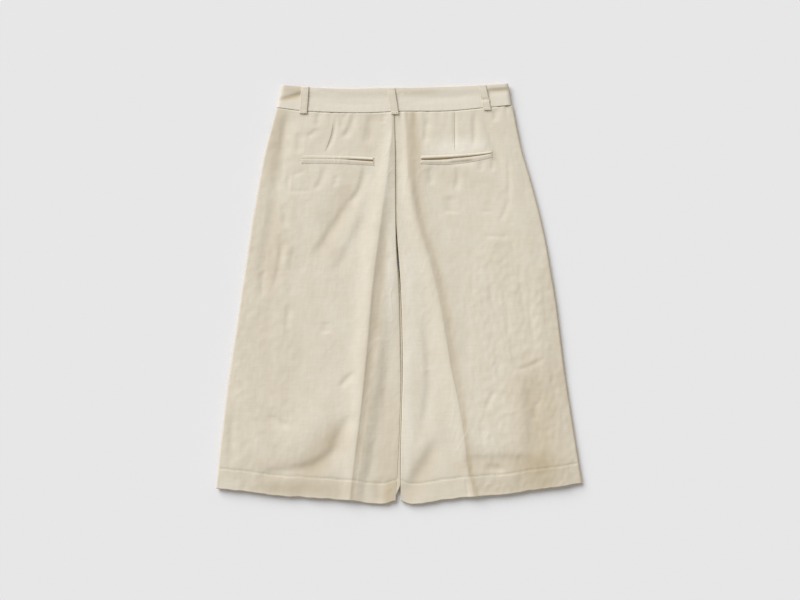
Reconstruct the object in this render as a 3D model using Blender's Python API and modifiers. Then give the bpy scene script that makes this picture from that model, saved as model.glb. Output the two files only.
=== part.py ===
"""Wide-legged bermuda shorts laid flat with the back up.

+X is to the right as they lie, +Y runs up to the waist, +Z away from the surface they lie on.
The origin is at the middle of their box on that surface. Tables and sizes are in millimetres.
"""
import bpy
import bmesh
import numpy as np
from collections import namedtuple

MM = 0.001

# Driving sizes
CLOTH = 1.2                 # wall of one layer of cloth
HEM_CLOTH = 1.8             # wall where the hem is turned up
HEM_DEPTH = 34.0
BAND_CLOTH = 2.0            # the waistband is doubled
GAP = 0.3                   # least space between pieces that are sewn together
LYING_GAP = 0.4             # space under a piece that lies on a panel
SIDE_HEIGHT = 4.5           # height of the side and inside-leg seams above the surface
SEAM_APART = 0.75           # the outer lines of a rolled seam, whose inner lines are 0.3 apart
ROLL = 9.0                  # width over which the cloth rolls over at a side seam
FRONT_LIFT = 2.1            # the front is held up by its loops and button near the waist
FRONT_LIFT_FROM = 215.0     # the lift starts at this distance up the front
FRONT_LIFT_TO = 275.0
FRONT_SHORTER = 2.0         # the front's hem and waist lie this far inside the back's
FRONT_ROLL = 6.0            # width over which the front rolls up to the inside-leg seam
CROTCH_FROM = 110.0         # the inside-leg seam begins between these levels
CROTCH_TO = 60.0

LOOP_WIDTH = 12.0
LOOP_CLOTH = 1.6
LOOP_PAST_SEAM = 4.5
LOOP_ARCH = 0.8             # a loop stands off the waistband by this much at its middle
LOOP_SEWN = 0.12            # share of a loop's length that is sewn down below its arch
LOOP_SHORT = 0.6            # a loop stops this far below the waistband's upper edge
WELT_CROWN = 0.4
BUTTON_RADIUS = 7.5
BUTTON_HEIGHT = 1.7
BUTTON_LEVEL = 304.0
OVERLAP = 34.0              # how far the waistband's ends pass each other
RAISED = 2.4                # how far the inner end lies above the outer one
RAISED_RUN = 16.0           # length over which the inner end comes back down
END_APART = 3.0             # the outer end stops this far before the inner end's last raised point
FLY_LENGTH = 165.0
FLY_WIDTH = 38.0
ZIP_WIDTH = 24.0
ZIP_CLOTH = 1.0
FLY_TOP = 283.0

Section = namedtuple("Section", "y left crest right left_z ridge_z foot_z right_z rise step skew"
                                " left_roll right_roll left_edge_z right_edge_z")

# The left back panel: the side seam is its left edge, the centre back and inside leg its right one.
BACK_LEFT = (
    Section(292, -191.8, -9.6, -7.6, 10.6, 10.8, 10.2, 10.2, 20, 2, 0.8, 9, 2.0, 4.5, 9.4),
    Section(255, -201.8, -11.2, -7.0, 10.4, 11.8, 9.9, 9.8, 24, 4, 0.8, 9, 2.0, 4.5, 9.0),
    Section(220, -211.0, -15.2, -6.2, 10.2, 13.4, 9.2, 9.0, 30, 8, 0.8, 9, 2.2, 4.5, 8.4),
    Section(178, -219.2, -20.2, -6.1, 10.1, 14.6, 8.6, 8.4, 34, 12, 0.8, 9, 2.4, 4.5, 7.6),
    Section(107, -231.4, -29.6, -5.4, 10.0, 15.8, 8.0, 8.6, 40, 15, 0.7, 9, 3.0, 4.5, 6.6),
    Section(70, -237.0, -34.5, -4.2, 10.0, 16.0, 8.2, 9.4, 40, 14, 0.65, 9, 4.5, 4.5, 4.6),
    Section(10, -245.8, -42.0, -0.4, 10.0, 16.0, 8.8, 9.8, 40, 12, 0.6, 9, 5.5, 4.5, 4.5),
    Section(-60, -256.2, -48.0, 1.2, 10.2, 15.8, 9.4, 9.4, 40, 10, 0.6, 9, 6, 4.5, 4.5),
    Section(-130, -267.2, -54.6, 2.4, 10.6, 15.4, 10.0, 8.8, 40, 8, 0.6, 9, 6, 4.5, 4.5),
    Section(-200, -276.0, -62.2, 0.4, 11.6, 15.0, 11.0, 8.2, 36, 7, 0.6, 9, 6, 4.5, 4.5),
    Section(-240, -280.6, -67.4, -1.2, 12.0, 15.0, 11.6, 8.2, 34, 6.5, 0.6, 9, 6, 4.5, 4.5),
    Section(-275, -284.4, -71.8, -3.2, 11.2, 13.8, 11.4, 8.0, 30, 6, 0.6, 9, 6, 4.5, 4.5),
    Section(-306, -287.2, -75.2, -4.6, 9.6, 12.0, 10.2, 7.8, 26, 5, 0.6, 8, 6, 4.5, 4.5),
    Section(-330, -289.6, -77.6, -6.4, 8.6, 10.8, 9.4, 7.6, 24, 5, 0.6, 8, 6, 4.5, 4.5),
)

# The right back panel: the centre back and inside leg are its left edge, the side seam its right one.
BACK_RIGHT = (
    Section(295, -7.3, 9.0, 177.6, 10.4, 11.4, 10.0, 10.6, 12, 12, 1.0, 2.0, 9, 9.4, 4.5),
    Section(220, -5.9, 13.0, 193.4, 9.6, 12.4, 9.0, 10.2, 16, 12, 1.2, 2.2, 9, 8.4, 4.5),
    Section(178, -5.8, 15.5, 205.8, 9.4, 13.0, 8.8, 10.0, 20, 10, 1.4, 2.4, 9, 7.6, 4.5),
    Section(120, -5.3, 25.5, 221.0, 9.4, 13.6, 8.8, 10.0, 28, 10, 1.4, 2.6, 9, 7.0, 4.5),
    Section(84, -3.0, 36.0, 229.0, 9.6, 13.6, 8.9, 10.0, 30, 10, 1.3, 3.8, 9, 5.4, 4.5),
    Section(40, 0.4, 50.0, 236.8, 10.0, 13.5, 9.0, 10.0, 32, 10, 1.1, 5.0, 9, 4.6, 4.5),
    Section(-13, 3.2, 63.0, 245.6, 10.0, 13.4, 9.2, 10.0, 34, 10, 0.9, 5.5, 9, 4.5, 4.5),
    Section(-60, 4.6, 71.8, 251.6, 10.0, 13.3, 9.4, 10.0, 36, 9, 0.8, 6, 9, 4.5, 4.5),
    Section(-120, 5.4, 82.2, 259.0, 10.0, 13.2, 9.6, 10.4, 38, 8, 0.6, 6, 9, 4.5, 4.5),
    Section(-180, 3.9, 94.8, 268.0, 10.2, 13.0, 11.2, 11.6, 38, 6, 0.6, 6, 9, 4.5, 4.5),
    Section(-240, 2.5, 104.0, 277.6, 10.0, 13.0, 12.0, 12.2, 36, 4, 0.6, 6, 9, 4.5, 4.5),
    Section(-275, 2.1, 107.4, 283.2, 9.6, 12.2, 11.2, 11.4, 32, 4, 0.6, 6, 9, 4.5, 4.5),
    Section(-298, 2.0, 113.6, 287.2, 8.8, 10.8, 10.0, 9.8, 28, 4, 0.6, 6, 8, 4.5, 4.5),
    Section(-330, 2.6, 121.0, 291.0, 8.2, 9.6, 9.0, 8.6, 24, 4, 0.6, 6, 8, 4.5, 4.5),
)

# The seam under the waistband, and the band's upper edge, from left to right.
Edge = namedtuple("Edge", "x y")
WAIST_SEAM = (Edge(-192, 291.2), Edge(-157, 286.6), Edge(-105, 283.6), Edge(-49, 283.0), Edge(0, 285.2),
              Edge(84, 286.3), Edge(130, 290.6), Edge(178, 295.2))
BAND_TOP = (Edge(-185, 327.4), Edge(-141, 323.8), Edge(-78, 321.4), Edge(-21, 322.8), Edge(20, 323.0),
            Edge(70, 324.4), Edge(112, 326.0), Edge(171, 329.6))
LEFT_HEM = (Edge(-287, -305.6), Edge(-233, -311.6), Edge(-193, -316.6), Edge(-143, -320.0),
            Edge(-77, -324.6), Edge(-24, -329.6), Edge(-6, -325.0))
RIGHT_HEM = (Edge(2, -324.6), Edge(14, -329.4), Edge(47, -327.2), Edge(80, -322.2), Edge(115, -319.0),
             Edge(179, -313.2), Edge(212, -308.2), Edge(287, -297.7))

BandEnd = namedtuple("BandEnd", "y left right")
BAND_FOOT = 285.0
BAND_RISE = 44.0
BAND_ENDS = (BandEnd(285.0, -192.8, 175.6), BandEnd(329.6, -184.6, 170.7))
WAIST_LEVEL = 292.0         # level at which the centre front and centre back are read
BAND_HEIGHT = 11.0
BAND_EDGE_LIFT = 1.2        # the stiff upper edge stands a little higher
BAND_ROLL = 7.0

# The largest soft folds: a trough from one point to another, with its width and depth.
Fold = namedtuple("Fold", "name x0 y0 x1 y1 width depth")
FOLDS = (
    Fold("under the left pocket", -49, 197, -120, 56, 13, 1.6),
    Fold("beside the left side seam", -184, 262, -222, 110, 12, 1.5),
    Fold("over the left hem", -66, -198, -190, -282, 16, 2.2),
    Fold("inside the left leg", -20, -50, -20, -220, 9, 1.3),
    Fold("over the right hem", 68, -228, 8, -326, 14, 2.2),
    Fold("down to the right hem's corner", 268, -110, 300, -300, 44, 3.0),
)

Welt = namedtuple("Welt", "name x0 x1 low0 low1 low2 high0 high1 high2")
WELTS = (
    Welt("welt_left_upper", -153.4, -39.8, 212.0, 211.4, 208.2, 217.2, 216.6, 213.4),
    Welt("welt_left_lower", -153.4, -39.8, 203.6, 203.2, 200.4, 211.2, 210.2, 207.0),
    Welt("welt_right_upper", 33.2, 145.4, 210.6, 213.4, 220.0, 216.4, 219.0, 223.6),
    Welt("welt_right_lower", 33.2, 145.4, 203.2, 203.0, 213.2, 209.2, 211.6, 219.0),
)

Loop = namedtuple("Loop", "name top_x bottom_x below")
LOOPS = (
    Loop("belt_loop_back_left", -147.4, -150.6, False),
    Loop("belt_loop_back_centre", -13.2, -6.6, False),
    Loop("belt_loop_back_right", 129.4, 138.0, False),
    Loop("belt_loop_front_left", -92.0, -95.0, True),
    Loop("belt_loop_front_right", 78.0, 81.0, True),
)

# Grid of each kind of panel
FIRST_LEVEL = -310.0        # a first guess at a row's level, before its own hem and seam are read
FIRST_LENGTH = 600.0
ROWS_BACK = 23
ROWS_FRONT = 23
OUTER_STEPS = 7             # columns from the side seam's roll to the ridge
FRONT_STEPS = 5
ROLL_STEPS = (0.0, 0.015, 0.12, 0.4, 1.0)
STEP_STEPS = (0.0, 0.33, 0.66, 1.0)
BAND_RUN = 9
BAND_TURN = 5
BAND_ROWS = 3
STRIP_STEPS = 6


def remove_everything():
    for item in list(bpy.data.objects):
        bpy.data.objects.remove(item, do_unlink=True)


def material(name, colour, roughness, metallic=0.0):
    made = bpy.data.materials.new(name)
    made.use_nodes = True
    shader = made.node_tree.nodes["Principled BSDF"]
    shader.inputs["Base Color"].default_value = (*colour, 1.0)
    shader.inputs["Roughness"].default_value = roughness
    shader.inputs["Metallic"].default_value = metallic
    return made


def ease(t):
    """0 to 1 with level ends."""
    t = np.clip(t, 0.0, 1.0)
    return t * t * (3.0 - 2.0 * t)


def quarter_round(t):
    """0 to 1, upright at 0 and level at 1."""
    t = np.clip(t, 0.0, 1.0)
    return np.sqrt(1.0 - (1.0 - t) ** 2)


def read_table(rows, column, at):
    """A smooth curve through one column, read at a value of the table's first column."""
    rows = sorted(rows)
    knots = np.array([row[0] for row in rows], float)
    values = np.array([getattr(row, column) for row in rows], float)
    slopes = np.gradient(values, knots)
    at = np.clip(at, knots[0], knots[-1])
    i = np.clip(np.searchsorted(knots, at) - 1, 0, len(knots) - 2)
    span = knots[i + 1] - knots[i]
    t = (at - knots[i]) / span
    start = values[i] * (1 + 2 * t) * (1 - t) ** 2 + slopes[i] * span * t * (1 - t) ** 2
    end = values[i + 1] * t * t * (3 - 2 * t) + slopes[i + 1] * span * t * t * (t - 1)
    return start + end


def folds_at(x, y):
    """Depth of the soft folds at a point."""
    depth = 0.0
    for fold in FOLDS:
        along_x = fold.x1 - fold.x0
        along_y = fold.y1 - fold.y0
        length = np.hypot(along_x, along_y)
        along = ((x - fold.x0) * along_x + (y - fold.y0) * along_y) / length ** 2
        across = ((x - fold.x0) * along_y - (y - fold.y0) * along_x) / length
        ends = ease((along + 0.1) / 0.35) * ease((1.1 - along) / 0.35)
        depth = depth + fold.depth * ends * np.exp(-(across / fold.width) ** 2)
    return depth


def back_height(panel, x, y):
    """Height of the outer face of a back panel."""
    def read(column):
        return read_table(panel, column, y)
    left, crest, right = read("left"), read("crest"), read("right")
    ridge, foot = read("ridge_z"), read("foot_z")
    before = read("left_z") + (ridge - read("left_z")) * ease(1 - (crest - x) / read("rise")) ** 2
    fallen = np.clip((x - crest) / read("step"), 0.0, 1.0) ** read("skew")
    falling = ridge + (foot - ridge) * ease(fallen)
    beyond = x - crest - read("step")
    after = foot + (read("right_z") - foot) * ease(beyond / (2.5 * read("step")))
    body = np.where(x < crest, before, np.where(beyond < 0, falling, after)) - folds_at(x, y)
    low_left, low_right = read("left_edge_z"), read("right_edge_z")
    body = low_left + (body - low_left) * quarter_round((x - left) / read("left_roll"))
    return low_right + (body - low_right) * quarter_round((right - x) / read("right_roll"))


def front_height(panel, x, y, side_is_left):
    """Height of the outer, lower face of a front panel."""
    left, right = read_table(panel, "left", y), read_table(panel, "right", y)
    from_side, from_middle = (x - left, right - x) if side_is_left else (right - x, x - left)
    lift = FRONT_LIFT * ease((y - FRONT_LIFT_FROM) / (FRONT_LIFT_TO - FRONT_LIFT_FROM))
    leg = ease((CROTCH_FROM - y) / (CROTCH_FROM - CROTCH_TO))
    edge = SIDE_HEIGHT - SEAM_APART
    low = edge + (lift - edge) * quarter_round(from_side / ROLL)
    middle = low + (edge - low) * leg
    return middle + (low - middle) * quarter_round(from_middle / FRONT_ROLL)


def panel_columns(panel, y):
    """Where the columns of a back panel cross one level."""
    def read(column):
        return float(read_table(panel, column, y))
    left, crest, right = read("left"), read("crest"), read("right")
    left_end = left + min(read("left_roll"), 0.4 * (crest - left))
    foot = crest + min(read("step"), 0.5 * (right - crest))
    right_start = right - min(read("right_roll"), 0.4 * (right - crest))
    columns = [left + (left_end - left) * t for t in ROLL_STEPS]
    left_steps, right_steps = (OUTER_STEPS, 3) if crest - left > right - crest else (3, OUTER_STEPS)
    to_crest, past_foot = crest - left_end, right_start - foot
    columns += [left_end + to_crest * (k / left_steps) ** 0.8 for k in range(1, left_steps)]
    columns += [crest + (foot - crest) * t for t in STEP_STEPS]
    columns += [foot + past_foot * (k / right_steps) ** 1.1 for k in range(1, right_steps)]
    columns += [right - (right - right_start) * t for t in reversed(ROLL_STEPS)]
    return columns


def plain_columns(panel, y):
    """Where the columns of a front panel cross one level."""
    left = float(read_table(panel, "left", y))
    right = float(read_table(panel, "right", y))
    level = right - left - 2 * ROLL
    columns = [left + ROLL * t for t in ROLL_STEPS[:-1]]
    columns += [left + ROLL + level * k / FRONT_STEPS for k in range(FRONT_STEPS + 1)]
    columns += [right - ROLL * t for t in ROLL_STEPS[-2::-1]]
    return columns


def cloth(name, columns, rows, place, wall, surface, outside_down=False, thin_rows=None, thin_to=1.0):
    """A grid put in place point by point and given its wall on the inner side."""
    mesh = bpy.data.meshes.new(name)
    sheet = bmesh.new()
    bmesh.ops.create_grid(sheet, x_segments=columns, y_segments=rows, size=0.5)
    weight = sheet.verts.layers.deform.verify()
    for vert in sheet.verts:
        i = round((vert.co.x + 0.5) * columns)
        j = round((vert.co.y + 0.5) * rows)
        vert.co = [float(value) * MM for value in place(i, j)]
        vert[weight][0] = 1.0 if thin_rows is None or j < thin_rows else thin_to
    if outside_down:
        bmesh.ops.reverse_faces(sheet, faces=sheet.faces)
    sheet.to_mesh(mesh)
    sheet.free()
    mesh.shade_smooth()
    piece = bpy.data.objects.new(name, mesh)
    piece.vertex_groups.new(name="wall")
    mesh.materials.append(surface)
    shorts.objects.link(piece)
    thicken = piece.modifiers.new("Wall", "SOLIDIFY")
    thicken.thickness = wall * MM
    thicken.offset = -1.0
    thicken.use_quality_normals = True
    thicken.vertex_group = "wall"
    return piece


def panel_level(hem, x, j, rows, shorter):
    """Height up the panel of row j: the first rows span the hem, the others run on to the waist."""
    hem_rows = 2
    top = float(read_table(WAIST_SEAM, "y", x)) - (2 * GAP if shorter else 1.5 * GAP)
    bottom = float(read_table(hem, "y", x)) + shorter
    if j <= hem_rows:
        return bottom + (HEM_DEPTH - shorter) * j / hem_rows
    start = bottom + HEM_DEPTH - shorter
    return start + (top - start) * (j - hem_rows) / (rows - hem_rows)


def panel_place(panel, hem, rows, columns_of, height_of, shorter=0.0):
    def place(i, j):
        nominal = FIRST_LEVEL + FIRST_LENGTH * j / rows
        x = columns_of(panel, nominal)[i]
        y = panel_level(hem, x, j, rows, shorter)
        x = columns_of(panel, y)[i]
        y = panel_level(hem, x, j, rows, shorter)
        return x, y, height_of(x, y)
    return place


def back_panel(name, panel, hem, surface):
    columns = len(panel_columns(panel, 0.0)) - 1
    place = panel_place(panel, hem, ROWS_BACK, panel_columns, lambda x, y: back_height(panel, x, y))
    return cloth(name, columns, ROWS_BACK, place, HEM_CLOTH, surface, thin_rows=3, thin_to=CLOTH / HEM_CLOTH)


def front_panel(name, panel, hem, side_is_left, surface):
    columns = len(plain_columns(panel, 0.0)) - 1

    def height_of(x, y):
        return front_height(panel, x, y, side_is_left)
    place = panel_place(panel, hem, ROWS_FRONT, plain_columns, height_of, FRONT_SHORTER)
    return cloth(name, columns, ROWS_FRONT, place, HEM_CLOTH, surface, outside_down=True,
                 thin_rows=3, thin_to=CLOTH / HEM_CLOTH)


def band_back_height(up):
    """Height of the waistband over the back; up is 0 at the seam and 1 at the upper edge."""
    return BAND_HEIGHT + BAND_EDGE_LIFT * ease((up - 0.55) / 0.35)


def centre_front():
    return float(read_table(BACK_LEFT, "right", WAIST_LEVEL))


def band_route():
    """Stops round the waist: from the inner end under the front, over the back, to the outer end."""
    middle = centre_front()
    half_over = 0.5 * OVERLAP
    stops = [("front", x, RAISED) for x in (middle + half_over, middle, middle - half_over)]
    stops += [("front", middle - half_over - RAISED_RUN, 0.0)]
    stops += [("front_left", k / BAND_RUN, 0.0) for k in range(1, BAND_RUN)]
    stops += [("turn_left", k / BAND_TURN, 0.0) for k in range(BAND_TURN + 1)]
    stops += [("back", k / (2 * BAND_RUN), 0.0) for k in range(1, 2 * BAND_RUN)]
    stops += [("turn_right", k / BAND_TURN, 0.0) for k in range(BAND_TURN + 1)]
    stops += [("front_right", k / BAND_RUN, 0.0) for k in range(1, BAND_RUN)]
    stops += [("front", middle - half_over + END_APART, 0.0)]
    return stops


def band_point(stop, up):
    """A point of the waistband's outer face."""
    kind, t, raised = stop
    level_y = BAND_FOOT + BAND_RISE * up
    left = float(read_table(BAND_ENDS, "left", level_y))
    right = float(read_table(BAND_ENDS, "right", level_y))
    middle = centre_front()
    low = FRONT_LIFT
    if kind in ("turn_left", "turn_right"):
        angle = np.pi * (t - 0.5) if kind == "turn_left" else np.pi * (0.5 - t)
        edge_x, inward = (left, 1.0) if kind == "turn_left" else (right, -1.0)
        x = edge_x + inward * BAND_ROLL * (1 - np.cos(angle))
        top = band_back_height(up)
        z = (low + top) / 2 + (top - low) / 2 * np.sin(angle)
    elif kind == "back":
        x = left + BAND_ROLL + (right - left - 2 * BAND_ROLL) * t
        z = band_back_height(up)
    elif kind == "front":
        x = t
        z = low + raised
    else:
        end = middle - 0.5 * OVERLAP
        inner = end - RAISED_RUN if kind == "front_left" else end + END_APART
        x = inner + (left + BAND_ROLL - inner) * t
        if kind == "front_right":
            x = right - BAND_ROLL + (inner - right + BAND_ROLL) * t
        z = low
    bottom = float(read_table(WAIST_SEAM, "y", x))
    top_y = float(read_table(BAND_TOP, "y", x))
    under = 1.0 - ease((z - low) / (BAND_HEIGHT - low))
    top_y = top_y - FRONT_SHORTER * under
    return x, bottom + (top_y - bottom) * up, z


def waistband(surface):
    stops = band_route()

    def place(i, j):
        return band_point(stops[i], j / BAND_ROWS)
    return cloth("waistband", len(stops) - 1, BAND_ROWS, place, BAND_CLOTH, surface)


def lying_height(x, y):
    """Height of whatever is uppermost on the back at a point."""
    panel = BACK_LEFT if x < centre_front() else BACK_RIGHT
    seam = float(read_table(WAIST_SEAM, "y", x))
    if y < seam - 2.0:
        return float(back_height(panel, x, y))
    top = float(read_table(BAND_TOP, "y", x))
    return band_back_height((y - seam) / (top - seam))


def through(first, middle, last, t):
    """The parabola through three values at 0, a half and 1."""
    return (1 - t) * (1 - 2 * t) * first + 4 * t * (1 - t) * middle + t * (2 * t - 1) * last


def welt(spec, surface):
    """A narrow folded lip that lies on a back panel along its pocket."""
    def place(i, j):
        t = i / STRIP_STEPS
        low = through(spec.low0, spec.low1, spec.low2, t)
        high = through(spec.high0, spec.high1, spec.high2, t)
        x = spec.x0 + (spec.x1 - spec.x0) * t
        y = low + (high - low) * j / 2
        crown = WELT_CROWN if j == 1 else 0.0
        return x, y, lying_height(x, y) + LYING_GAP + CLOTH + crown
    return cloth(spec.name, STRIP_STEPS, 2, place, CLOTH, surface)


def belt_loop(spec, surface):
    """A strap over the waistband, from its upper edge to just past the seam."""
    def place(i, j):
        t = j / STRIP_STEPS
        middle = spec.bottom_x + (spec.top_x - spec.bottom_x) * t
        x = middle + LOOP_WIDTH * (i / 2 - 0.5)
        low = float(read_table(WAIST_SEAM, "y", middle)) - LOOP_PAST_SEAM
        high = float(read_table(BAND_TOP, "y", middle))
        high -= FRONT_SHORTER if spec.below else LOOP_SHORT
        y = low + (high - low) * t
        if spec.below:
            return x, y, 0.0
        arch = LOOP_ARCH * np.sin(np.pi * np.clip((t - LOOP_SEWN) / (1 - 1.5 * LOOP_SEWN), 0.0, 1.0))
        lift = arch + BAND_EDGE_LIFT * ease((t - 0.5) / 0.4)
        return x, y, BAND_HEIGHT + LYING_GAP + LOOP_CLOTH + lift
    return cloth(spec.name, 2, STRIP_STEPS, place, LOOP_CLOTH, surface, outside_down=spec.below)


def fly_strip(name, width, length, above, wall, surface):
    """A strip on the inner side of the fronts, below the waist at the centre front."""
    def place(i, j):
        y = FLY_TOP - length * (1 - j / STRIP_STEPS)
        x = float(read_table(BACK_LEFT, "right", y)) + width * (i / 2 - 0.5)
        lift = FRONT_LIFT * ease((y - FRONT_LIFT_FROM) / (FRONT_LIFT_TO - FRONT_LIFT_FROM))
        return x, y, lift + CLOTH + above + wall
    return cloth(name, 2, STRIP_STEPS, place, wall, surface)


def waist_button(surface):
    """A flat round button under the waistband's outer end."""
    disc = bmesh.new()
    bmesh.ops.create_cone(disc, cap_ends=True, segments=24, radius1=BUTTON_RADIUS * MM,
                          radius2=BUTTON_RADIUS * MM, depth=BUTTON_HEIGHT * MM)
    mesh = bpy.data.meshes.new("waist_button")
    disc.to_mesh(mesh)
    disc.free()
    mesh.materials.append(surface)
    piece = bpy.data.objects.new("waist_button", mesh)
    piece.location = (centre_front() * MM, BUTTON_LEVEL * MM, 0.5 * BUTTON_HEIGHT * MM)
    shorts.objects.link(piece)


remove_everything()
shorts = bpy.data.collections.new("bermuda_shorts")
bpy.context.scene.collection.children.link(shorts)

linen = material("beige_linen", (0.70, 0.64, 0.54), 0.85)
linen_edge = material("folded_linen", (0.68, 0.62, 0.52), 0.85)
tape = material("zip_tape", (0.60, 0.55, 0.46), 0.8)
horn = material("horn_button", (0.35, 0.27, 0.18), 0.35)

back_panel("back_left", BACK_LEFT, LEFT_HEM, linen)
back_panel("back_right", BACK_RIGHT, RIGHT_HEM, linen)
front_panel("front_left", BACK_LEFT, LEFT_HEM, True, linen)
front_panel("front_right", BACK_RIGHT, RIGHT_HEM, False, linen)
waistband(linen_edge)
for each in LOOPS:
    belt_loop(each, linen_edge)
for each in WELTS:
    welt(each, linen_edge)
fly_strip("fly_zip", ZIP_WIDTH, FLY_LENGTH - 10.0, LYING_GAP, ZIP_CLOTH, tape)
fly_strip("fly_placket", FLY_WIDTH, FLY_LENGTH, 2 * LYING_GAP + ZIP_CLOTH, CLOTH, linen_edge)
waist_button(horn)
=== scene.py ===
# %% [markdown]
# # Linen bermuda shorts, lying flat with the back up
#
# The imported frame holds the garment's true pieces: two back panels, two front panels, a
# waistband, belt loops, pocket welts and the closure. This lesson gives each of them the look
# of soft pressed linen. +X is to the right as the shorts lie, +Y runs up to the waist and +Z
# leaves the table. Sizes are in millimetres and become metres only where a point is placed.

# %% Load the frame
from collections import namedtuple
from functools import partial

import bmesh
import bpy
import numpy as np
from mathutils import Matrix, Vector, noise


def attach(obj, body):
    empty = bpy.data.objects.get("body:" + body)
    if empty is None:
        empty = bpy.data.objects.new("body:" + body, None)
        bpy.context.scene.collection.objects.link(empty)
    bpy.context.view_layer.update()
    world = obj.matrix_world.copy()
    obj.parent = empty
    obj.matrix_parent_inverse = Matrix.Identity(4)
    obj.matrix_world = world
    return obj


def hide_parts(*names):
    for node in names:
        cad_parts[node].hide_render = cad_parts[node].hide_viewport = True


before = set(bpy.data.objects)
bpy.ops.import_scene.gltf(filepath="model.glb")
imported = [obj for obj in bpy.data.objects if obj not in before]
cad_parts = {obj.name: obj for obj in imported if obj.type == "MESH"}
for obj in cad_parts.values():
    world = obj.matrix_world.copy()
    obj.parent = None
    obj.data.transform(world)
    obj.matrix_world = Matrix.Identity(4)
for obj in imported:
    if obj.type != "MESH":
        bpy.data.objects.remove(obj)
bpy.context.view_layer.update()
MM = 0.001

# %% [markdown]
# ## Small helpers for curves
#
# A garment's outline could be traced point by point, but a pattern cutter draws a few sizes and
# joins them with smooth curves. Here each table has a few named rows, and one function reads a
# smooth curve through a column, for thousands of points at once.


# %% Helpers for smooth shapes
def ease(t):
    """0 to 1 with level ends."""
    t = np.clip(t, 0.0, 1.0)
    return t * t * (3.0 - 2.0 * t)


def quarter_round(t):
    """0 to 1, upright at 0 and level at 1."""
    t = np.clip(t, 0.0, 1.0)
    return np.sqrt(1.0 - (1.0 - t) ** 2)


def table(kind, *rows):
    """A table's rows, as records whose columns have names."""
    return tuple(kind(*row) for row in rows)


def read_table(rows, column, at):
    """A smooth curve through one column, read at values of the table's first column."""
    rows = sorted(rows)
    knots = np.array([row[0] for row in rows], float)
    values = np.array([getattr(row, column) for row in rows], float)
    slopes = np.gradient(values, knots)
    at = np.clip(at, knots[0], knots[-1])
    i = np.clip(np.searchsorted(knots, at) - 1, 0, len(knots) - 2)
    span = knots[i + 1] - knots[i]
    t = (at - knots[i]) / span
    start = values[i] * (1 + 2 * t) * (1 - t) ** 2 + slopes[i] * span * t * (1 - t) ** 2
    end = values[i + 1] * t * t * (3 - 2 * t) + slopes[i + 1] * span * t * t * (t - 1)
    return start + end


# %% [markdown]
# ## The garment's own sizes
#
# These are the sizes that the frame was cut to. Each row is a level up the shorts: where the
# panel's edges and its pressed crease lie, how high the cloth stands there, and how wide it
# rolls over at its seams.

# %% Sizes of the panels
CLOTH = 1.2
HEM_CLOTH = 1.8
HEM_DEPTH = 34.0
BAND_CLOTH = 2.0
GAP = 0.3
SIDE_HEIGHT = 4.5
SEAM_APART = 0.75
ROLL = 9.0
FRONT_LIFT = 2.1
FRONT_LIFT_FROM = 215.0
FRONT_LIFT_TO = 275.0
FRONT_SHORTER = 2.0

Section = namedtuple("Section", "y left crest right left_z ridge_z foot_z right_z rise step skew"
                                " left_roll right_roll left_edge_z right_edge_z",
                     defaults=(SIDE_HEIGHT, SIDE_HEIGHT))   # pressing sets the edges' heights
BACK_LEFT = table(
    Section,
    (292, -191.8, -9.6, -7.6, 10.6, 10.8, 10.2, 10.2, 20, 2, 0.8, 9, 2.0),
    (255, -201.8, -11.2, -7.0, 10.4, 11.8, 9.9, 9.8, 24, 4, 0.8, 9, 2.0),
    (220, -211.0, -15.2, -6.2, 10.2, 13.4, 9.2, 9.0, 30, 8, 0.8, 9, 2.2),
    (178, -219.2, -20.2, -6.1, 10.1, 14.6, 8.6, 8.4, 34, 12, 0.8, 9, 2.4),
    (107, -231.4, -29.6, -5.4, 10.0, 15.8, 8.0, 8.6, 40, 15, 0.7, 9, 3.0),
    (70, -237.0, -34.5, -4.2, 10.0, 16.0, 8.2, 9.4, 40, 14, 0.65, 9, 4.5),
    (10, -245.8, -42.0, -0.4, 10.0, 16.0, 8.8, 9.8, 40, 12, 0.6, 9, 5.5),
    (-60, -256.2, -48.0, 1.2, 10.2, 15.8, 9.4, 9.4, 40, 10, 0.6, 9, 6),
    (-130, -267.2, -54.6, 2.4, 10.6, 15.4, 10.0, 8.8, 40, 8, 0.6, 9, 6),
    (-200, -276.0, -62.2, 0.4, 11.6, 15.0, 11.0, 8.2, 36, 7, 0.6, 9, 6),
    (-240, -280.6, -67.4, -1.2, 12.0, 15.0, 11.6, 8.2, 34, 6.5, 0.6, 9, 6),
    (-275, -284.4, -71.8, -3.2, 11.2, 13.8, 11.4, 8.0, 30, 6, 0.6, 9, 6),
    (-306, -287.2, -75.2, -4.6, 9.6, 12.0, 10.2, 7.8, 26, 5, 0.6, 8, 6),
    (-330, -289.6, -77.6, -6.4, 8.6, 10.8, 9.4, 7.6, 24, 5, 0.6, 8, 6),
)
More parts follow.
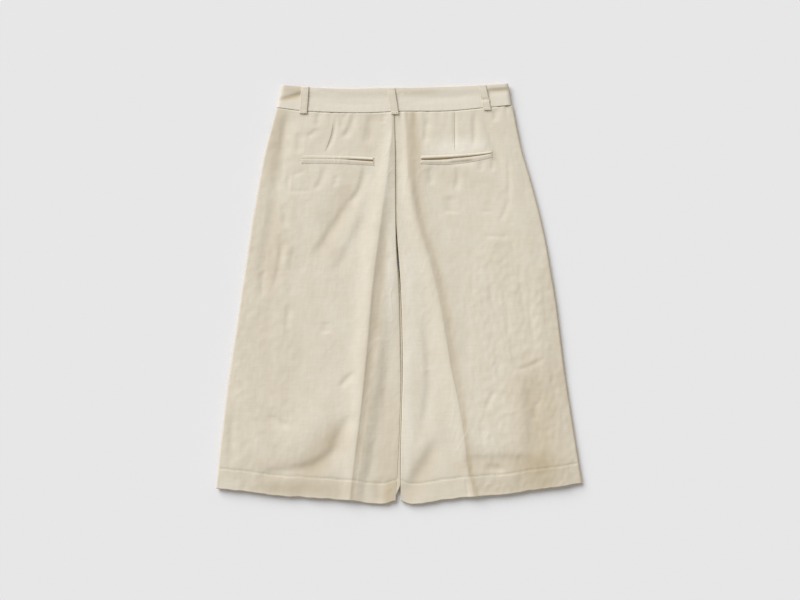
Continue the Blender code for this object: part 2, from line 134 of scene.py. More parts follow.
BACK_RIGHT = table(
    Section,
    (295, -7.3, 9.0, 177.6, 10.4, 11.4, 10.0, 10.6, 12, 12, 1.0, 2.0, 9),
    (220, -5.9, 13.0, 193.4, 9.6, 12.4, 9.0, 10.2, 16, 12, 1.2, 2.2, 9),
    (178, -5.8, 15.5, 205.8, 9.4, 13.0, 8.8, 10.0, 20, 10, 1.4, 2.4, 9),
    (120, -5.3, 25.5, 221.0, 9.4, 13.6, 8.8, 10.0, 28, 10, 1.4, 2.6, 9),
    (84, -3.0, 36.0, 229.0, 9.6, 13.6, 8.9, 10.0, 30, 10, 1.3, 3.8, 9),
    (40, 0.4, 50.0, 236.8, 10.0, 13.5, 9.0, 10.0, 32, 10, 1.1, 5.0, 9),
    (-13, 3.2, 63.0, 245.6, 10.0, 13.4, 9.2, 10.0, 34, 10, 0.9, 5.5, 9),
    (-60, 4.6, 71.8, 251.6, 10.0, 13.3, 9.4, 10.0, 36, 9, 0.8, 6, 9),
    (-120, 5.4, 82.2, 259.0, 10.0, 13.2, 9.6, 10.4, 38, 8, 0.6, 6, 9),
    (-180, 3.9, 94.8, 268.0, 10.2, 13.0, 11.2, 11.6, 38, 6, 0.6, 6, 9),
    (-240, 2.5, 104.0, 277.6, 10.0, 13.0, 12.0, 12.2, 36, 4, 0.6, 6, 9),
    (-275, 2.1, 107.4, 283.2, 9.6, 12.2, 11.2, 11.4, 32, 4, 0.6, 6, 9),
    (-298, 2.0, 113.6, 287.2, 8.8, 10.8, 10.0, 9.8, 28, 4, 0.6, 6, 8),
    (-330, 2.6, 121.0, 291.0, 8.2, 9.6, 9.0, 8.6, 24, 4, 0.6, 6, 8),
)
Edge = namedtuple("Edge", "x y")
WAIST_SEAM = (Edge(-192, 291.2), Edge(-157, 286.6), Edge(-105, 283.6), Edge(-49, 283.0), Edge(0, 285.2),
              Edge(84, 286.3), Edge(130, 290.6), Edge(178, 295.2))
BAND_TOP = (Edge(-185, 327.4), Edge(-141, 323.8), Edge(-78, 321.4), Edge(-21, 322.8), Edge(20, 323.0),
            Edge(70, 324.4), Edge(112, 326.0), Edge(171, 329.6))
LEFT_HEM = (Edge(-287, -305.6), Edge(-233, -311.6), Edge(-193, -316.6), Edge(-143, -320.0),
            Edge(-77, -324.6), Edge(-24, -329.6), Edge(-6, -325.0))
RIGHT_HEM = (Edge(2, -324.6), Edge(14, -329.4), Edge(47, -327.2), Edge(80, -322.2), Edge(115, -319.0),
             Edge(179, -313.2), Edge(212, -308.2), Edge(287, -297.7))
INNER_EDGE = 8.0            # how high the inside-leg edges lie, where the legs part
PRESSED = 0.36              # pressing leaves this share of the roll at a panel's edges
LEFT_SIDE_RAISED = 2.0      # how much higher than its own height each side seam lies
RIGHT_SIDE_RAISED = 0.5


def pressed(panel, wider, shallower, sharper, inner, side, raised):
    """The sections as the iron leaves them: tight edges, and a soft, shallow fall past the crease."""
    rows = []
    for row in panel:
        foot = row.ridge_z - shallower * (row.ridge_z - row.foot_z)
        body = getattr(row, inner + "_z")
        edge = body - 0.5 if row.y > 80 else min(INNER_EDGE, body - 0.2)
        edges = {inner + "_edge_z": edge, side + "_edge_z": SIDE_HEIGHT + raised}
        rolls = {"left_roll": row.left_roll * PRESSED, "right_roll": row.right_roll * PRESSED}
        rows.append(row._replace(step=row.step * wider, foot_z=foot, skew=row.skew * sharper,
                                 **rolls, **edges))
    return tuple(rows)


BACK_LEFT = pressed(BACK_LEFT, 1.35, 0.5, 0.8, "right", "left", LEFT_SIDE_RAISED)
BACK_RIGHT = pressed(BACK_RIGHT, 1.25, 0.46, 0.6, "left", "right", RIGHT_SIDE_RAISED)
print("panels", len(BACK_LEFT), "and", len(BACK_RIGHT), "sections")

# %% [markdown]
# ## Creases placed one by one
#
# Linen keeps every fold that it was packed in. A cloth simulation would make folds of its own,
# in places of its own, so each crease is listed here one by one: from one point to another, with a
# sideways bend, a width and a depth. Troughs are soft, ridges have a negative depth, and a lean
# makes one bank of a trough steeper than the other. No two are alike in length, depth or
# spacing. All of them run down the shorts or from left to right.

# %% The creases of the left back
Crease = namedtuple("Crease", "name x0 y0 x1 y1 bend width depth lean", defaults=(0.0,))
CREASES_LEFT = table(
    Crease,
    ("beside the side seam, top", -175, 284, -184, 214, 0, 9, 2.03, 0.3),
    ("beside the side seam, long", -184, 222, -217, 10, 0, 10, 1.49, 0.2),
    ("inside the side seam", -158, 252, -157, 220, 0, 6, 1.33, 0.2),
    ("pucker by the left loop", -127, 282, -129, 262, 0, 4, 1, 0.2),
    ("pucker under it", -128, 257, -144, 245, 0, 4, 1, 0.2),
    ("dart", -100.5, 284, -116, 222, -5.5, 2.4, 1.22, 0.2),
    ("pucker beside the dart", -88, 282, -91, 258, 0, 4, 1.1, 0.2),
    ("curved pucker", -72, 280, -88, 243, -3, 5, 1.55, 0.3),
    ("broad shade by the middle", -43, 282, -51, 233, -2, 9, 1.59, 0.2),
    ("pucker by the centre loop", -25, 281, -25, 267, 0, 4, 0.88),
    ("pocket bag, upper edge", -147, 192, -169, 185, 0, 3, 0.59),
    ("pocket bag, side", -173.4, 187, -174.5, 158, 0, 3, 0.88, 0.2),
    ("pocket bag, lower edge", -173, 160, -140, 161, 0, 3, 0.49),
    ("below the pocket, left", -118, 197, -132, 162, -3, 5, 1.33, 0.3),
    ("below the pocket, middle", -99, 185, -101, 168, 0, 4, 1, 0.2),
    ("diagonal, top", -55, 198, -77, 142, -6, 6, 1.89, 0.4),
    ("diagonal, lower", -71, 152, -133, 56, 0, 9, 1.89, 0.35),
    ("diagonal, broad", -80, 166, -121, 88, 0, 18, 1.59),
    ("second diagonal", -51, 126, -100, 33, -2, 10, 1.4, 0.3),
    ("near the side, high", -182, 139, -178, 104, 0, 6, 1.33, 0.2),
    ("near the side, middle", -185, 86, -199, 7, -4, 5, 1.33, 0.3),
    ("bright streak", -172, 77, -180, 38, 0, 5, -1),
    ("near the side, low", -215, 36, -215, -6, 0, 5, 1.1, 0.2),
    ("short one at mid leg", -173, -17, -176, -56, 0, 5, 1.1, 0.2),
    ("dimple at mid leg", -114, -45, -114, -62, 0, 7, 1.1),
    ("slanting, by the crease", -71, -123, -95, -148, 0, 5, 1.33, 0.3),
    ("slanting, by the side", -207, -192, -172, -209, 0, 6, 1.22, -0.2),
    ("hem dent, going down", -73, -190, -105, -254, 4, 10, 1.95, 0.2),
    ("hem dent, turning out", -96, -243, -162, -278, -6, 11, 2.3, 0.3),
    ("hem dent, running out", -148, -275, -217, -283, 0, 9, 1.49, 0.2),
    ("swell above the dent", -107, -182, -176, -250, 0, 26, -1.76),
    ("inside-leg valley", -17, -54, -20, -224, 4, 7, 0.5, 0.2),
    ("swell beside the valley", -33, -66, -34, -152, 0, 7, -0.5),
    ("swell under the crotch", -17, 110, -15, -6, 0, 6, -0.3),
    ("dip along the side seam", -262, -186, -264, -272, 0, 7, 1.4, 0.2),
    ("dip in the hem", -30, -288, -33, -330, 0, 9, 1.59, 0.2),
)

# %% The creases of the right back
CREASES_RIGHT = table(
    Crease,
    ("dart", 86, 285, 86.5, 223, 0, 2.4, 1.22, 0.2),
    ("pucker by the middle", 43.5, 273, 41, 236, 0, 5, 1.33, 0.2),
    ("pucker past the dart", 118, 284, 118, 230, 0, 5, 1.33, 0.2),
    ("long one to the side", 131, 281, 163, 183, -1, 7, 1.59, 0.2),
    ("pucker by the right loop", 150, 289, 150, 270, 0, 4, 1.1, 0.2),
    ("shade under the welt", 78, 204, 117, 207, 0, 3.5, 1.33, -0.2),
    ("below the pocket, left", 48, 197, 50, 170, 0, 5, 1.33, 0.2),
    ("below the pocket, middle", 91, 200, 88, 162, -2, 5, 1.33, 0.3),
    ("below the pocket, broad", 79, 152, 79, 126, 0, 10, 1.1),
    ("below the pocket, short", 127, 206, 129, 192, 0, 4, 1),
    ("at the pocket's end", 147, 212, 146, 192, 0, 4, 1.1, 0.2),
    ("pocket bag, side", 171, 214, 172, 149, 0, 3, 1.1, 0.2),
    ("pocket bag, corner", 172, 152, 157, 113, -2, 3.5, 0.77, 0.2),
    ("pocket bag, lower edge", 70, 128, 95, 128, 0, 2.6, 0.49),
    ("pocket bag, lower edge, outer", 127, 128, 148, 128, 0, 2.6, 0.49),
    ("across the thigh", 131, 90, 170, 89, 0, 3, 0.49),
    ("mid leg, inner", 114, 31, 114, -6, 0, 3, 0.59, 0.2),
    ("crinkle 1", 139, 48, 146, -22, 1, 3.2, 0.59, 0.2),
    ("crinkle 2", 163, 12, 170, -74, -2, 3.6, 0.68, 0.2),
    ("crinkle 3", 187, 44, 197, -40, 2, 3.2, 0.59, 0.3),
    ("crinkle 4", 203, -22, 213, -92, 0, 4.2, 0.88, 0.2),
    ("crinkle 5", 225, 26, 235, -58, 2, 3.4, 0.68, 0.2),
    ("crinkle 6", 151, -88, 157, -146, -1, 3.6, 0.59, 0.2),
    ("crinkle 7", 175, -64, 181, -118, 1, 3.2, 0.59, 0.2),
    ("crinkle 8", 236, -102, 244, -168, 0, 4, 0.68, 0.3),
    ("crinkle 9", 128, -196, 131, -240, 1, 4, 0.68, 0.2),
    ("across the side, high", 183, -121, 228, -101, 2, 4, 1),
    ("across the side, low", 211, -181, 224, -163, 0, 4, 1),
    ("across the leg", 136, -179, 149, -152, 0, 4, 1),
    ("dimple by the side", 212, -180, 212, -199, 0, 6, 1.1),
    ("soft one inside the leg", 38, -37, 37, -215, -9, 8, 1.55, 0.3),
    ("dent to the inner hem", 62, -230, 11, -318, 0, 12, 2.53, 0.25),
    ("beside the crease in the hem", 104, -290, 108, -318, 0, 2.6, 0.88),
    ("hollow above the hem", 104, -261, 210, -261, 0, 10, 1.49, -0.3),
    ("hollow above the hem, deep", 136, -271, 164, -277, 0, 6, 1.59, -0.2),
    ("drop beside the side seam", 206, -136, 214, -256, 0, 17, 1.95, 0.45),
    ("down to the hem's corner", 268, -110, 300, -300, 0, 44, 2.6),
)


def along_and_across(line, x, y):
    """Each point's share of the way along a bent line, and its distance from it."""
    run_x, run_y = line.x1 - line.x0, line.y1 - line.y0
    length = np.hypot(run_x, run_y)
    along = ((x - line.x0) * run_x + (y - line.y0) * run_y) / length ** 2
    across = ((x - line.x0) * run_y - (y - line.y0) * run_x) / length
    return along, across - line.bend * 4.0 * along * (1.0 - along)


def crease_depth(creases, x, y):
    """How far the creases press the cloth down at each point."""
    depth = np.zeros(np.shape(x))
    for crease in creases:
        along, across = along_and_across(crease, x, y)
        width = crease.width * (1.0 - crease.lean * np.tanh(across / crease.width))
        ends = ease((along + 0.1) / 0.35) * ease((1.1 - along) / 0.35)
        depth = depth + crease.depth * ends * np.exp(-(across / width) ** 2)
    return depth


print(len(CREASES_LEFT) + len(CREASES_RIGHT), "creases placed")

# %% [markdown]
# ## The slow unevenness of cloth
#
# Between its creases linen is never quite level. Plain noise has no direction, and this cloth
# was hung before it was laid down, so its faint waves run mostly up and down: the noise is
# stretched that way. A finer one, strongest where the cloth was crumpled most, adds crinkles.

# %% Shallow waves and fine crinkles
WAVE_SIZE = (34.0, 80.0)    # across and along
WAVE_HEIGHT = 0.9
CRINKLE_SIZE = (6.5, 11.0)
CRINKLE_HEIGHT = 0.5
PINCH_SIZE = (17.0, 38.0)   # thin pinched lines, left where the cloth was folded small
PINCH_HEIGHT = 0.42


def stretched_noise(x, y, size, seed):
    """Smooth noise, stretched along the shorts."""
    flat_x, flat_y = np.broadcast_arrays(x, y)
    spots = zip(flat_x.ravel() / size[0], flat_y.ravel() / size[1])
    values = np.fromiter((noise.noise((a, b, seed)) for a, b in spots), float, flat_x.size)
    return values.reshape(flat_x.shape)


def unevenness(x, y):
    """A few tenths of a millimetre up and down, fading towards the waist seam."""
    right_leg = ease((x - 80.0) / 70.0) * ease((120.0 - y) / 80.0)
    crumpled = 0.4 + 0.6 * right_leg + 0.4 * ease((-130.0 - x) / 60.0)
    waves = WAVE_HEIGHT * stretched_noise(x, y, WAVE_SIZE, 3.1)
    crinkles = CRINKLE_HEIGHT * crumpled * stretched_noise(x, y, CRINKLE_SIZE, 7.7)
    line = np.clip(1.0 - np.abs(stretched_noise(x, y, PINCH_SIZE, 1.9)) / 0.16, 0.0, 1.0) ** 2
    here = ease(0.35 + 1.6 * stretched_noise(x, y, (31.0, 44.0), 8.8))
    pinches = PINCH_HEIGHT * (0.45 + 0.55 * crumpled) * line * here
    return (waves + crinkles + pinches) * ease((282.0 - y) / 25.0)


def puckers(x, from_seam, reach, depth):
    """Small dips that a seam draws into the cloth, unevenly spaced, dying out away from it."""
    dips = 0.5 + 0.5 * np.sin(x / 2.3 + 2.2 * np.sin(x / 14.0) + 1.3 * np.sin(x / 37.0))
    return depth * dips * (0.5 + 0.5 * np.sin(x / 23.0)) * np.exp(-(from_seam / reach) ** 2)


# %% [markdown]
# ## The form of a panel
#
# A back panel is one sheet: it rolls up from the side seam, runs level over the leg, climbs to
# the pressed crease, drops sharply beyond it, and turns down into the centre seam or the inside
# of the leg. That is a height for each place on the table, so a flat grid can be put on it. Its
# hem is turned up and stitched, so it has a groove at the stitches and a rounded fold below.

# %% Heights of the back
HEM_STITCH = 32.0           # the hem's stitches lie this far above its fold
STITCH_GROOVE = 0.65
HEM_WAVER = 1.1
HEM_FOLD = 1.4              # the fold at the bottom rounds off over this length
HEM_DROP = 0.5
SIDE_DROP = 2.2             # the right leg thins out towards its side seam
SIDE_DROP_REACH = 17.0


def hem_level(hem, x):
    """Where the hem's fold lies; it wavers by half a millimetre."""
    return read_table(hem, "y", x) + HEM_WAVER * stretched_noise(x, np.zeros(np.shape(x)), (15.0, 1.0), 5.2)


def hem_shape(hem, x, y):
    """How far the hem's stitches and its fold take the cloth down."""
    height = y - hem_level(hem, x)
    groove = STITCH_GROOVE * np.exp(-((height - HEM_STITCH) / 1.7) ** 2)
    fold = HEM_DROP * (1.0 - quarter_round(height / HEM_FOLD))
    return groove + fold + puckers(x, height - HEM_STITCH, 5.0, 0.25)


def back_form(panel, hem, creases, x, y):
    """Height of the outer face of a back panel."""
    def read(column):
        return read_table(panel, column, y)
    left, crest, right = read("left"), read("crest"), read("right")
    ridge, foot = read("ridge_z"), read("foot_z")
    before = read("left_z") + (ridge - read("left_z")) * ease(1 - (crest - x) / read("rise")) ** 2
    fallen = np.clip((x - crest) / read("step"), 0.0, 1.0) ** read("skew")
    falling = ridge + (foot - ridge) * ease(fallen)
    beyond = x - crest - read("step")
    after = foot + (read("right_z") - foot) * ease(beyond / (2.5 * read("step")))
    body = np.where(x < crest, before, np.where(beyond < 0, falling, after))
    body = body - crease_depth(creases, x, y) + unevenness(x, y) - hem_shape(hem, x, y)
    body = body - puckers(x, read_table(WAIST_SEAM, "y", x) - y, 15.0, 0.9)
    if panel is BACK_RIGHT:
        body = body - SIDE_DROP * np.exp(-((right - x) / SIDE_DROP_REACH) ** 2)
    low_left, low_right = read("left_edge_z"), read("right_edge_z")
    body = low_left + (body - low_left) * quarter_round((x - left) / read("left_roll"))
    return low_right + (body - low_right) * quarter_round((right - x) / read("right_roll"))


def back_height(x, y):
    """Height of the back at each point, on whichever panel it lies."""
    x, y = np.asarray(x, float), np.asarray(y, float)
    on_left = x < read_table(BACK_LEFT, "right", y) + 0.5 * GAP
    return np.where(on_left, back_form(BACK_LEFT, LEFT_HEM, CREASES_LEFT, x, y),
                    back_form(BACK_RIGHT, RIGHT_HEM, CREASES_RIGHT, x, y))


# %% Heights of the front
FRONT_ROLL = 6.0
CROTCH_FROM = 110.0
CROTCH_TO = 60.0
FRONT_INNER = 6.3           # how high the front's edge lies inside the leg
FRONT_HEM_SHOWS = -0.9      # the front's hem shows this far below the back's
FRONT_CREASES = table(
    Crease,
    ("left thigh", -190, 180, -170, 60, 4, 12, -0.7, 0.2),
    ("left knee", -120, 60, -165, -40, -3, 10, -0.6),
    ("left hem", -210, -200, -120, -250, 5, 12, -0.8, 0.2),
    ("left pressed crease", -100, 200, -140, -320, 0, 3, -0.9),
    ("right thigh", 60, 190, 90, 60, -4, 11, -0.7, 0.2),
    ("right knee", 130, 30, 180, -60, 3, 9, -0.6),
    ("right hem", 110, -240, 220, -210, -4, 12, -0.8),
    ("right pressed crease", 90, 200, 140, -320, 0, 3, -0.9),
)


def front_shows(y):
    """How far the left front shows inside the leg, past its back's edge: nearly to the other leg."""
    apart = read_table(BACK_RIGHT, "left", y) - read_table(BACK_LEFT, "right", y)
    return np.maximum(apart - 0.5, 0.0) * ease((CROTCH_TO - y) / 60.0) * ease((y + 318.0) / 20.0)


def front_edges(panel, y, side_is_left):
    """The front's edges, side and inside leg."""
    left, right = read_table(panel, "left", y), read_table(panel, "right", y)
    return (left, right + front_shows(y)) if side_is_left else (left, right)


def front_form(panel, hem, x, y, side_is_left):
    """Height of the outer, lower face of a front panel; its creases lift it off the table."""
    left, right = front_edges(panel, y, side_is_left)
    from_side, from_middle = (x - left, right - x) if side_is_left else (right - x, x - left)
    lift = FRONT_LIFT * ease((y - FRONT_LIFT_FROM) / (FRONT_LIFT_TO - FRONT_LIFT_FROM))
    lift = lift - crease_depth(FRONT_CREASES, x, y) + 0.5 * hem_shape(hem, x, y)
    leg = ease((CROTCH_FROM - y) / (CROTCH_FROM - CROTCH_TO))
    inner = FRONT_INNER
    if side_is_left:
        from_middle = np.maximum(from_middle - front_shows(y) - 0.6, 0.0)
        inner = np.minimum(FRONT_INNER, read_table(panel, "right_z", y) - 1.9)
    edge = SIDE_HEIGHT + (LEFT_SIDE_RAISED if side_is_left else RIGHT_SIDE_RAISED) - SEAM_APART
    low = edge + (lift - edge) * quarter_round(from_side / ROLL)
    middle = low + (inner - low) * leg
    return middle + (low - middle) * quarter_round(from_middle / FRONT_ROLL)


# %% [markdown]
# ## Putting a grid on the form
#
# bmesh makes a flat grid, and each of its points is then moved to its place on the panel. The
# columns follow the panel's own lines: they crowd where the cloth rolls over a seam or drops
# beyond the crease, so the sharp places stay sharp, and they run along the folds.


# %% Grids
def spread(panel, y, u, shares):
    """Where the columns cross each level: u runs 0 to 1 over stretches that get these shares."""
    def read(column):
        return read_table(panel, column, y)
    left, crest, right = read("left"), read("crest"), read("right")
    roll_left = np.minimum(read("left_roll"), 0.3 * (crest - left))
    roll_right = np.minimum(read("right_roll"), 0.3 * (right - crest))
    before = np.minimum(0.5 * read("rise"), 0.4 * (crest - left))
    step = np.minimum(1.3 * read("step"), 0.5 * (right - crest))
    stops = [left, left + roll_left, crest - before, crest, crest + step, right - roll_right, right]
    bounds = np.concatenate([[0.0], np.cumsum(shares) / np.sum(shares)])
    x = np.zeros(np.shape(u))
    for k in range(6):
        t = (u - bounds[k]) / (bounds[k + 1] - bounds[k])
        inside = (t >= 0.0) if k == 5 else (t >= 0.0) & (t < 1.0)
        if k == 0:
            t = np.clip(t, 0, 1) ** 1.8
        if k == 5:
            t = 1.0 - (1.0 - np.clip(t, 0, 1)) ** 1.8
        x = np.where(inside, stops[k] + (stops[k + 1] - stops[k]) * t, x)
    return x


def new_grid(columns, rows):
    """A flat grid, with each point's place across it and along it from 0 to 1."""
    sheet = bmesh.new()
    bmesh.ops.create_grid(sheet, x_segments=columns, y_segments=rows, size=0.5)
    flat = np.array([vert.co[:2] for vert in sheet.verts]) + 0.5
    return sheet, flat[:, 0], flat[:, 1]


def keep_mesh(name, shape, places=None, reverse=False, cut=None, tone=None):
    """Makes a smooth-shaded object of a bmesh, with its points moved to places.

    cut is each point's place on the flat cloth in millimetres, kept as a UV map, and tone says
    how much deeper its colour is drawn there: painted shade, painted highlights where it is below
    zero, and on the backs a random mottle.
    """
    if reverse:
        bmesh.ops.reverse_faces(shape, faces=shape.faces)
    mesh = bpy.data.meshes.new(name)
    shape.to_mesh(mesh)
    shape.free()
    if places is not None:
        mesh.vertices.foreach_set("co", np.ascontiguousarray(places * MM, np.float32).ravel())
    if cut is not None:
        corners = np.empty(len(mesh.loops), np.int32)
        mesh.loops.foreach_get("vertex_index", corners)
        spot = np.stack(cut, axis=1)[corners] * MM
        mesh.uv_layers.new(name="cut").data.foreach_set("uv", spot.astype(np.float32).ravel())
    if tone is not None:
        mesh.attributes.new("tone", "FLOAT", "POINT").data.foreach_set("value", tone.astype(np.float32))
    mesh.shade_smooth()
    piece = bpy.data.objects.new(name, mesh)
    bpy.context.scene.collection.objects.link(piece)
    mesh.update()
    return piece


def give_wall(piece, wall, thickness=None):
    """Gives a sheet its wall on the inner side; thickness is each point's share of the wall."""
    group = piece.vertex_groups.new(name="wall")
    if thickness is None:
        group.add(range(len(piece.data.vertices)), 1.0, "REPLACE")
    else:
        steps = np.round(thickness, 2)
        for share in np.unique(steps):
            group.add(np.flatnonzero(steps == share).tolist(), float(share), "REPLACE")
    thicken = piece.modifiers.new("Wall", "SOLIDIFY")
    thicken.thickness = wall * MM
    thicken.offset = -1.0
    thicken.use_quality_normals = True
    thicken.vertex_group = group.name
    return piece


HEM_ROWS_SHARE = 0.11       # share of a panel's rows that the hem gets, so its stitches show
EDGE_SHARE = 0.45           # share of the wall that is left at a folded edge


def panel_places(panel, hem, u, w, shares, form, shorter=0.0):
    """Places of a panel's points, their shares of the hem's wall, and their heights in the hem."""
    y = -310.0 + 600.0 * w
    for _ in range(3):
        x = spread(panel, y, u, shares)
        top = read_table(WAIST_SEAM, "y", x) - (2 * GAP if shorter else 1.5 * GAP)
        bottom = hem_level(hem, x) + shorter
        above = (top - bottom - HEM_DEPTH) * (w - HEM_ROWS_SHARE) / (1 - HEM_ROWS_SHARE)
        y = bottom + np.where(w < HEM_ROWS_SHARE, HEM_DEPTH * w / HEM_ROWS_SHARE, HEM_DEPTH + above)
    height = y - bottom
    single = 1.0 - (1.0 - CLOTH / HEM_CLOTH) * ease((height - HEM_STITCH) / 3.0)
    wall = single * (EDGE_SHARE + (1 - EDGE_SHARE) * quarter_round(height / HEM_FOLD))
    return np.stack([x, y, form(x, y)], axis=1), wall, height


def placed(middle, size, turn=Matrix()):
    """The matrix that puts a shape of unit size in its place; all in millimetres."""
    metres = Matrix.Diagonal((MM, MM, MM, 1.0))
    return metres @ Matrix.Translation(middle) @ turn @ Matrix.Diagonal((*size, 1.0))


def stand_for(piece, material, slot, *nodes):
    """Gives a piece its material, hides the frame's nodes that it stands for and hangs it from the root."""
    piece.data.materials.append(material)
    if nodes:
        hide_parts(*nodes)
    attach(piece, "root")
    print(piece.name, len(piece.data.vertices), "points")


# %% [markdown]
# ## Linen
#
# The shorts are undyed linen in a plain weave, washed and pressed: matt, warm beige, with
# threads of uneven thickness. The pattern could come from an image of cloth, but threads are
# simple enough to draw: long thin noise in each direction for the slubs, and a fine crossing of
# waves for the weave. It is laid out on the cut cloth, so the threads follow each panel's crease.
# Real threads are about 0.5 mm apart; they are drawn at 1.1 mm, because finer ones would not
# show. Painted shade deepens the colour in the hems, past the creases, in folds and at rolled
# edges, and painted highlights pale it where the cloth faces the light.

# %% Material helpers
def linear(hex_colour):
    """A linear colour from an sRGB hex value."""
    parts = [int(hex_colour[i:i + 2], 16) / 255 for i in (0, 2, 4)]
    return [c / 12.92 if c <= 0.04045 else ((c + 0.055) / 1.055) ** 2.4 for c in parts] + [1.0]


def add_node(tree, kind, settings=None, **inputs):
    """Adds a node, with its settings, and its inputs as values or as another node's output."""
    node = tree.nodes.new(kind)
    for name, value in (settings or {}).items():
        setattr(node, name, value)
    for name, value in inputs.items():
        socket = node.inputs[int(name[2:])] if name.startswith("n_") else node.inputs[name.replace("_", " ")]
        if isinstance(value, bpy.types.NodeSocket):
            tree.links.new(value, socket)
        else:
            socket.default_value = value
    return node


def start_material(name, roughness, colour="FFFFFF"):
    """A new material with its shader, ready for nodes."""
    made = bpy.data.materials.new(name)
    made.use_nodes = True
    shader = made.node_tree.nodes["Principled BSDF"]
    shader.inputs["Base Color"].default_value = linear(colour)
    shader.inputs["Roughness"].default_value = roughness
    return made, made.node_tree, shader


def give_relief(tree, shader, pattern, strength, depth):
    """Raises a pattern's bright parts by a depth in millimetres."""
    bump = add_node(tree, "ShaderNodeBump", Height=pattern.outputs["Fac"], Strength=strength,
                    Distance=depth * MM)
    tree.links.new(bump.outputs[0], shader.inputs["Normal"])


def grained(name, roughness, colour, scale, strength, metallic=0.0):
    """A smooth material with the fine grain that moulding or casting leaves."""
    made, tree, shader = start_material(name, roughness, colour)
    shader.inputs["Metallic"].default_value = metallic
    grain = add_node(tree, "ShaderNodeTexNoise", Scale=scale, Detail=2.0)
    give_relief(tree, shader, grain, strength, 0.02)
    return made


# %% The linen
THREAD = 1.1                # drawn distance between threads
SLUB_LENGTH = 26.0          # how long a thick stretch of thread is
SLUB_WIDTH = 1.6
CRUMPLE = 7.0               # size of the finest crumples left by washing
# the colour that painted shade and the random mottle deepen the linen towards
DEEP_TONE = "C9BCA4"


def streaks(tree, place, along, across):
    """Long thin noise along one thread direction."""
    stretch = add_node(tree, "ShaderNodeMapping", Vector=place, Scale=(1000 / along, 1000 / across, 1.0))
    slubs = add_node(tree, "ShaderNodeTexNoise", Vector=stretch.outputs[0], Scale=1.0, Detail=3.0)
    return slubs.outputs["Fac"]


def linen(name, light, dark, weave_depth=0.05):
    """Plain-weave linen: slubs along both threads, a fine weave and a slow drift of tone."""
    made, tree, shader = start_material(name, 0.88)
    place = add_node(tree, "ShaderNodeUVMap", {"uv_map": "cut"}).outputs["UV"]
    warp = streaks(tree, place, SLUB_WIDTH, SLUB_LENGTH)
    weft = streaks(tree, place, SLUB_LENGTH, SLUB_WIDTH)
    slubs = add_node(tree, "ShaderNodeMath", {"operation": "ADD"}, n_0=warp, n_1=weft)
    drift = add_node(tree, "ShaderNodeTexNoise", Vector=place, Scale=16.0, Detail=2.0)
    spread_tone = add_node(tree, "ShaderNodeMath", {"operation": "MULTIPLY_ADD"},
                           n_0=drift.outputs["Fac"], n_1=0.5, n_2=slubs.outputs[0])
    share = add_node(tree, "ShaderNodeMapRange", Value=spread_tone.outputs[0])
    share.inputs["From Min"].default_value = 0.9
    share.inputs["From Max"].default_value = 1.6
    yarn = add_node(tree, "ShaderNodeMix", {"data_type": "RGBA"}, Factor=share.outputs[0])
    yarn.inputs[6].default_value = linear(dark)
    yarn.inputs[7].default_value = linear(light)
    # The tone attribute mixes in painted shade, painted highlights where it is below zero, and a random
    # mottle.
    tone = add_node(tree, "ShaderNodeAttribute", {"attribute_name": "tone"}).outputs["Fac"]
    deeper = add_node(tree, "ShaderNodeMix", {"data_type": "RGBA", "clamp_factor": False}, Factor=tone)
    tree.links.new(yarn.outputs[2], deeper.inputs[6])
    deeper.inputs[7].default_value = linear(DEEP_TONE)
    tree.links.new(deeper.outputs[2], shader.inputs["Base Color"])
    threads = [add_node(tree, "ShaderNodeTexWave", {"bands_direction": direction}, Vector=place,
                        Scale=1000 / THREAD / 20, Distortion=1.5, Detail=2.0).outputs["Fac"]
               for direction in ("X", "Y")]
    weave = add_node(tree, "ShaderNodeMath", {"operation": "ADD"}, n_0=threads[0], n_1=threads[1])
    relief = add_node(tree, "ShaderNodeMath", {"operation": "MULTIPLY_ADD"},
                      n_0=slubs.outputs[0], n_1=1.5, n_2=weave.outputs[0])
    fine = add_node(tree, "ShaderNodeBump", Height=relief.outputs[0], Strength=0.5, Distance=weave_depth * MM)
    crumples = add_node(tree, "ShaderNodeTexNoise", Vector=place, Scale=1000 / CRUMPLE, Detail=3.0)
    soft = add_node(tree, "ShaderNodeBump", Height=crumples.outputs["Fac"], Strength=0.5,
                    Distance=0.45 * MM, Normal=fine.outputs[0])
    tree.links.new(soft.outputs[0], shader.inputs["Normal"])
    shader.inputs["Specular IOR Level"].default_value = 0.22
    shader.inputs["Sheen Weight"].default_value = 0.1
    shader.inputs["Sheen Roughness"].default_value = 0.6
    return made


washed_linen = linen("washed_linen", "DDD4C2", "D7CDBA", 0.03)
pressed_linen = linen("pressed_linen", "E0D8C7", "DAD0BE", 0.03)
print("linen ready")

# %% [markdown]
# ## The back panels
#
# On the real shorts the backs are what shows: each is cut in one piece from waist to hem, with
# a dart, a welt pocket and a pressed crease. They could be draped by simulation over the
# fronts, but the folds would fall anywhere. A grid put on the panel's own form keeps each fold
# in its place.

